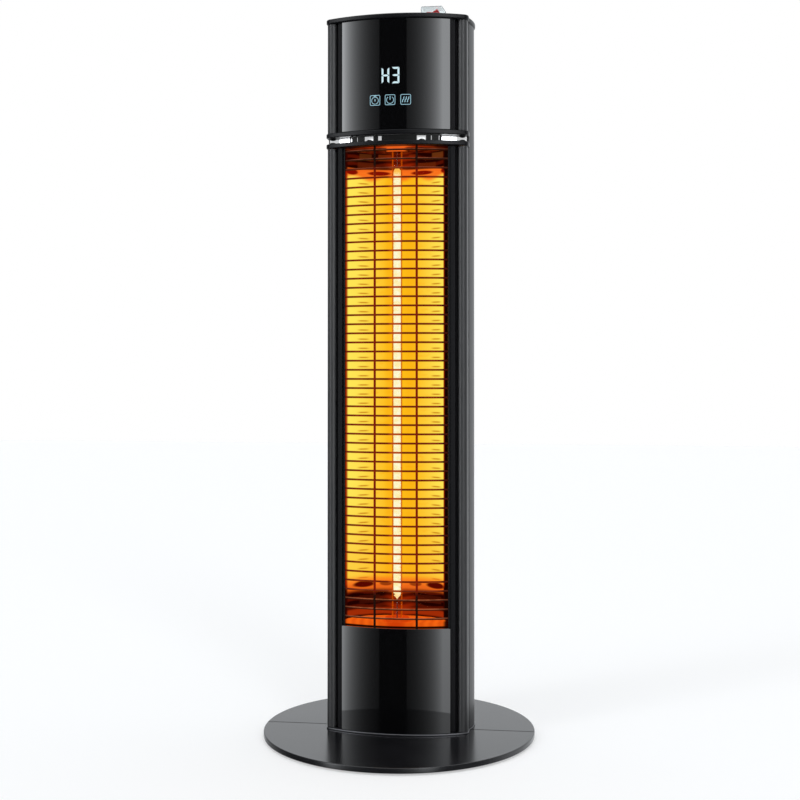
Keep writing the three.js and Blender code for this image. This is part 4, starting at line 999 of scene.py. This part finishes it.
painted = gold.mix(left_dark + right_dark, painted, (0.006, 0.001, 0.0005))
gold.plug(gold.shader["Emission Color"], painted)
gold.plug(gold.shader["Roughness"], 0.26 + fold_cloud * 0.14)
dressed(reflector_painted_glow, "reflector")

# The deck, the roof and the tube's collars carry painted glow: reflected rings and orange light round the
# tube, a lit front edge on the roof, and painted shade at the sides and the foot.
deck_look, deck_paint = finish("glowing_deck", (0.012, 0.003, 0.001), 0.3, 1.0, Emission_Strength=1.0)
x, y, z = deck_paint.place()
reach = ((x * x) + (y - TUBE_Y) * (y - TUBE_Y)).math("SQRT")
rings = (reach * 620).math("SINE") * 0.5 + 0.5
cloudy = deck_paint.grain(0.012, 3.0)
low_deck_glow = deck_paint.mix(rings * 0.35 + cloudy * 0.3, (0.92, 0.135, 0.006), (0.50, 0.040, 0.002))
low_deck_glow = deck_paint.mix(1 - reach.rise(0.012, 0.024), low_deck_glow, (0.60, 0.045, 0.002))
roof_glow = deck_paint.mix(1 - abs(x).rise(0.010, 0.022), (0.34, 0.022, 0.002), (0.80, 0.115, 0.012))
roof_glow = deck_paint.mix(
    y.rise(-0.030, -0.024), roof_glow,
    deck_paint.mix(cloudy.rise(0.4, 0.6), (0.03, 0.001, 0.0), (0.11, 0.010, 0.001))
)
shown = deck_paint.mix(z.rise(0.3, 0.5), low_deck_glow, roof_glow)
shown = deck_paint.mix((-x).rise(0.0610, 0.0650) + x.rise(0.0550, 0.0600), shown, (0.02, 0.001, 0.0))
shown = deck_paint.mix(1 - z.rise(0.1372, 0.1385), shown, (0.01, 0.001, 0.0))
deck_paint.plug(deck_paint.shader["Emission Color"], shown)
deck_paint.plug(deck_paint.shader["Roughness"], 0.22 + cloudy * 0.2)
dressed(deck_look, "reflector_deck", "reflector_roof")


# ---- Heating element: quartz tube, carbon spiral, collars and ceramic ends
# A clear tube whose rims darken to red with a painted orange-red edge glow, round a flat carbon band wound
# in a spiral.
TUBE_R, TUBE_WALL = 0.0063, 0.001
tube_low, tube_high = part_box("quartz_tube")
quartz, quartz_paint = finish("quartz", (0.20, 0.010, 0.0), 0.04, 0.0, Emission_Strength=1.0)
facing = quartz_paint.node("LayerWeight", {"Blend": 0.5}, out="Facing")
rim = facing.rise(0.36, 0.62)
quartz_paint.plug(quartz_paint.shader["Alpha"], 0.02 + rim * 0.8)
# Painted edge glow on the tube's rims.
quartz_paint.plug(
    quartz_paint.shader["Emission Color"], quartz_paint.mix(rim, (0.0, 0.0, 0.0), (0.42, 0.060, 0.0))
)
bore = TUBE_R - TUBE_WALL
wall = [
    (TUBE_R, tube_low.z), (TUBE_R, tube_high.z), (bore, tube_high.z), (bore, tube_low.z),
    (TUBE_R, tube_low.z)
]
piece("tube", mesh_of("tube", lathe(wall, (0, TUBE_Y, 0), sides=64)), quartz, ["quartz_tube"])

COIL_R, BAND_W, BAND_T = 0.0042, 0.0040, 0.0006
COIL_LOW, COIL_HIGH, COIL_PITCH = 0.1758, 0.6900, 0.00486
coil_low, coil_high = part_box("heating_coil")
turns = round((COIL_HIGH - COIL_LOW) / COIL_PITCH)
carbon, carbon_paint = finish("glowing_carbon", (0.02, 0.02, 0.02), 0.7, Emission_Strength=1.0)
x, y, z = carbon_paint.place()
flicker = carbon_paint.grain(0.006, 2.0)
bright = carbon_paint.mix(flicker.rise(0.35, 0.65), (1.0, 0.86, 0.40), (1.0, 0.97, 0.68))
ends = (1 - z.rise(COIL_LOW - 0.004, COIL_LOW + 0.003)) * 0.6 + z.rise(COIL_HIGH - 0.010, COIL_HIGH + 0.001)
bright = carbon_paint.mix(ends, bright, (1.0, 0.52, 0.07))
lead_mask = (1 - z.rise(COIL_LOW - 0.008, COIL_LOW - 0.006)) + z.rise(COIL_HIGH + 0.0045, COIL_HIGH + 0.006)
carbon_paint.plug(
    carbon_paint.shader["Emission Color"], carbon_paint.mix(lead_mask, bright, (0.10, 0.008, 0.001))
)
winding = Plan("carbon_spiral", {"Turns": float(turns), "Radius": COIL_R, "Height": COIL_HIGH - COIL_LOW})
spiral_values = {
    "Resolution": 20, "Rotations": winding.size("Turns"), "Start Radius": winding.size("Radius"),
    "End Radius": winding.size("Radius"), "Height": winding.size("Height")
}
spiral = winding.node("CurveSpiral", spiral_values)
upright_spiral = winding.node("SetCurveNormal", {"Curve": spiral}, mode="Z_UP")
flat_band = winding.node("CurvePrimitiveQuadrilateral", {"Width": BAND_T, "Height": BAND_W})
ribbon = winding.node(
    "CurveToMesh", {"Curve": upright_spiral, "Profile Curve": flat_band, "Fill Caps": True}
)
raised_band = winding.node("Transform", {"Geometry": ribbon, "Translation": (0, TUBE_Y, COIL_LOW)})
leads = []
for start, end in ((coil_low.z, COIL_LOW - 0.001), (COIL_HIGH + 0.001, coil_high.z)):
    line_curve = winding.node("CurvePrimitiveLine", {"Start": (0, TUBE_Y, start), "End": (0, TUBE_Y, end)})
    lead_round = winding.node("CurvePrimitiveCircle", {"Resolution": 8, "Radius": 0.0008})
    leads.append(
        winding.node("CurveToMesh", {"Curve": line_curve, "Profile Curve": lead_round, "Fill Caps": True})
    )
tips = []
TIP_CONES = (  # lower radius, upper radius, foot and height of each cone at the spiral's ends
    (COIL_R, 0.0036, COIL_HIGH - 0.001, 0.0035),
    (0.0036, 0.0018, COIL_HIGH + 0.0025, 0.0025),
    (0.0016, COIL_R, COIL_LOW - 0.0010, 0.0020),
    (0.0041, 0.0016, COIL_LOW - 0.0028, 0.0018),
    (0.0004, 0.0041, COIL_LOW - 0.0066, 0.0038))
for radius_low, radius_high, start, tall in TIP_CONES:
    cone_values = {"Vertices": 24, "Radius Top": radius_high, "Radius Bottom": radius_low, "Depth": tall}
    cone = winding.node("MeshCone", cone_values)
    tips.append(winding.node("Transform", {"Geometry": cone, "Translation": (0, TUBE_Y, start)}))
piece(
    "carbon_spiral", winding.grow("carbon_spiral", [raised_band, *leads, *tips], carbon), carbon,
    ["heating_coil"]
)

for node, way in (("tube_collar_bottom", 1), ("tube_collar_top", -1)):
    low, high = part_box(node)
    face, tall = (low.z, high.z - low.z) if way > 0 else (high.z, high.z - low.z)
    ring = [
        (0.00665, 0), (0.015, 0), (0.015, tall - 0.0012), (0.0146, tall - 0.0004), (0.0138, tall),
        (0.00665, tall), (0.00665, 0)
    ]
    ring = [(r, face + way * h) for r, h in ring]
    # The collars take the deck's painted glow.
    piece(
        node.replace("collar", "ring"), mesh_of(node, lathe(ring, (0, TUBE_Y, 0))), deck_look,
        [node]
    )
steatite = coated("ceramic_ends", (0.74, 0.71, 0.64), 0.6, 0.1, 0.0008, 0.00003)
dressed(steatite, "ceramic_cap_bottom", "ceramic_cap_top")


# ---- Mains switch: red rocker under a clear splash boot
# The rocker turns on pins in its black body; the boot is soft clear plastic on a rim.
hinge = Vector(frame["joints"][0]["pos_m"])
ROCKER_HALF, ROCKER_D, ROCKER_HIGH, ROCKER_DIP, ROCKER_LOW = 0.010, 0.012, 0.0105, 0.0023, 0.0055
ROCKER_TILT = 13
ROCKER_LEAN = 0.0032  # how far its ends lean inwards
red_plastic, red_paint = finish("red_rocker", (0.70, 0.012, 0.016), 0.28)
tone = red_paint.grain(0.004)
red_paint.plug(
    red_paint.shader["Base Color"], red_paint.mix(tone, (0.62, 0.008, 0.012), (0.80, 0.018, 0.022))
)
red_paint.plug(red_paint.shader["Roughness"], 0.24 + tone * 0.12)
w, h = ROCKER_HALF, ROCKER_HIGH
outline = [
    (-w, 0.002), (-0.96 * w, -0.0015), (-0.6 * w, -ROCKER_LOW), (0.6 * w, -ROCKER_LOW), (0.96 * w, -0.0015),
    (w, 0.002)
]
outline += [(w - ROCKER_LEAN, h), (0, h - ROCKER_DIP), (ROCKER_LEAN - w, h)]
tilt = math.radians(ROCKER_TILT)


def tilted(points):
    """Points of the rocker's own drawing turned to its rest and set on its hinge."""
    turned = [
        (px * math.cos(tilt) - pz * math.sin(tilt), px * math.sin(tilt) + pz * math.cos(tilt))
        for px, pz in points
    ]
    return [(hinge.x + px, hinge.z + pz) for px, pz in turned]


key = across(tilted(outline), hinge.y - ROCKER_D / 2, hinge.y + ROCKER_D / 2, bmesh.new())
piece(
    "rocker_key", mesh_of("rocker_key", key), red_plastic, ["switch_rocker"], body="rocker",
    bevel=0.0004
)

BOOT_W, BOOT_D, BOOT_H, BOOT_T, BOOT_EDGE = 0.0306, 0.0226, 0.0128, 0.0008, 0.0012
BOOT_OPEN = 0.0013  # the floor of the drawn hood lies below this height and is taken out
BOOT_RUN, BOOT_RISE = 0.005, 0.0055
clear, clear_paint = finish("clear_boot", (0.94, 0.97, 0.97), 0.05, 0.0, IOR=1.25, Transmission_Weight=0.97)
clear_cloud = clear_paint.grain(0.004)
clear_paint.plug(clear_paint.shader["Roughness"], 0.02 + clear_cloud * 0.06)
boot_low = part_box("switch_boot")[0].z
half = BOOT_W / 2
side_view = [
    (-half, 0), (half, 0), (half, BOOT_RISE), (half - BOOT_RUN, BOOT_H), (0.001 - half, BOOT_H),
    (-half, BOOT_H - 0.001)
]
side_view = [(SWITCH_X + px, boot_low + pz) for px, pz in side_view]
hood = across(side_view, SWITCH_Y - BOOT_D / 2, SWITCH_Y + BOOT_D / 2, bmesh.new())
hood_obj = bpy.data.objects.new("hood", mesh_of("hood", hood))
scene.collection.objects.link(hood_obj)
soft = hood_obj.modifiers.new("soft", "BEVEL")
soft.width, soft.segments, soft.limit_method = BOOT_EDGE, 4, "ANGLE"
applied(hood_obj)
bm = bmesh.new()
bm.from_mesh(hood_obj.data)
boot_floor = [f for f in bm.faces if f.calc_center_median().z < boot_low + BOOT_OPEN and f.normal.z < -0.2]
bmesh.ops.delete(bm, geom=boot_floor, context="FACES")
low_edge = [v for v in bm.verts if v.is_boundary]
for v in low_edge:
    v.co.z = boot_low
hood_obj.data.clear_geometry()
bm.to_mesh(hood_obj.data)
bm.free()
skin = hood_obj.modifiers.new("skin", "SOLIDIFY")
skin.thickness, skin.offset = BOOT_T, -1
applied(hood_obj)
hood_mesh = hood_obj.data
bpy.data.objects.remove(hood_obj)
piece("splash_boot", hood_mesh, clear, ["switch_boot"])


# ---- Back: shell screws and cable gland
# Six zinc-plated cross-head screws hold the shell; the gland is a turned black nut with a flange.
# The cross is one outline, because a cutter that crosses itself leaves an empty screw.
SCREW_HEAD_R, SCREW_HEAD_H, SCREW_L = 0.0036, 0.002, 0.009
turns = [math.radians(t) for t in range(0, 91, 15)]
curve = [(SCREW_HEAD_R * math.cos(t), SEAT + SCREW_HEAD_H * (0.3 + 0.7 * math.sin(t))) for t in turns]
profile = [(0, -SCREW_L), (SHANK_R, -SCREW_L), (SHANK_R, SEAT), (SCREW_HEAD_R, SEAT)]
head = lathe(profile + curve[:-1] + [(0, curve[-1][1])], axis="Y", sides=32)
screw_mesh = mesh_of("shell_screw", head)
CROSS_REACH, CROSS_HALF, CROSS_FLOOR, CROSS_TOP = 0.0021, 0.0005, 0.0009, 0.004
cross_path = []
for c, s in ((1, 0), (0, 1), (-1, 0), (0, -1)):
    for px, pz in ((CROSS_REACH, -CROSS_HALF), (CROSS_REACH, CROSS_HALF), (CROSS_HALF, CROSS_HALF)):
        cross_path.append((c * px - s * pz, s * px + c * pz))
cross = across(cross_path, SEAT + CROSS_FLOOR, SEAT + CROSS_TOP, bmesh.new())
screw_obj = bpy.data.objects.new("screw", screw_mesh)
scene.collection.objects.link(screw_obj)
cross_obj = bpy.data.objects.new("cross", mesh_of("cross", cross))
scene.collection.objects.link(cross_obj)
cut = screw_obj.modifiers.new("cut", "BOOLEAN")
cut.object, cut.solver = cross_obj, "EXACT"
applied(screw_obj)
bpy.data.objects.remove(cross_obj)
cut_screw = screw_obj.data
bpy.data.objects.remove(screw_obj)
rear_screws = [node for node in frame["nodes"] if node.startswith("rear_screw")]
spots = []
for node in rear_screws:
    low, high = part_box(node)
    spots.append(((low.x + high.x) / 2, SHELL_BACK_Y, (low.z + high.z) / 2))
piece("shell_screws", scattered("shell_screws", cut_screw, spots, zinc), zinc, rear_screws)

CORD_R = 0.0036
profile = [
    (CORD_R, -0.0071), (0.0104, -0.0071), (0.0104, -0.0021), (GLAND_R, -0.0021), (GLAND_R, SEAT),
    (0.0098, SEAT), (0.01, SEAT + 0.0006)
]
profile += [
    (0.01, 0.0038), (0.0096, 0.0044), (0.0085, 0.0050), (0.0080, 0.0090), (0.0070, 0.0116),
    (0.0064, 0.0123), (CORD_R, 0.0123), (CORD_R, -0.0071)
]
piece(
    "gland_nut", mesh_of("gland_nut", lathe(profile, (GLAND_X, SHELL_BACK_Y, gland_z), axis="Y", sides=48)),
    comb_black, ["cable_gland"]
)


# ---- Pieces inside: shield, wiring and boards
# Plain plated sheet, a heat-proof sleeve and green boards, seen only when the shell is off.
dressed(zinc, "heat_shield")
sleeve = coated("woven_sleeve", (0.05, 0.012, 0.010), 0.75, 0.1, 0.0006, 0.0001)
dressed(sleeve, "wiring_sleeve")
laminate = coated("board_laminate", (0.012, 0.075, 0.030), 0.4, 0.1, 0.001, 0.00002)
dressed(laminate, "power_board", "display_board")
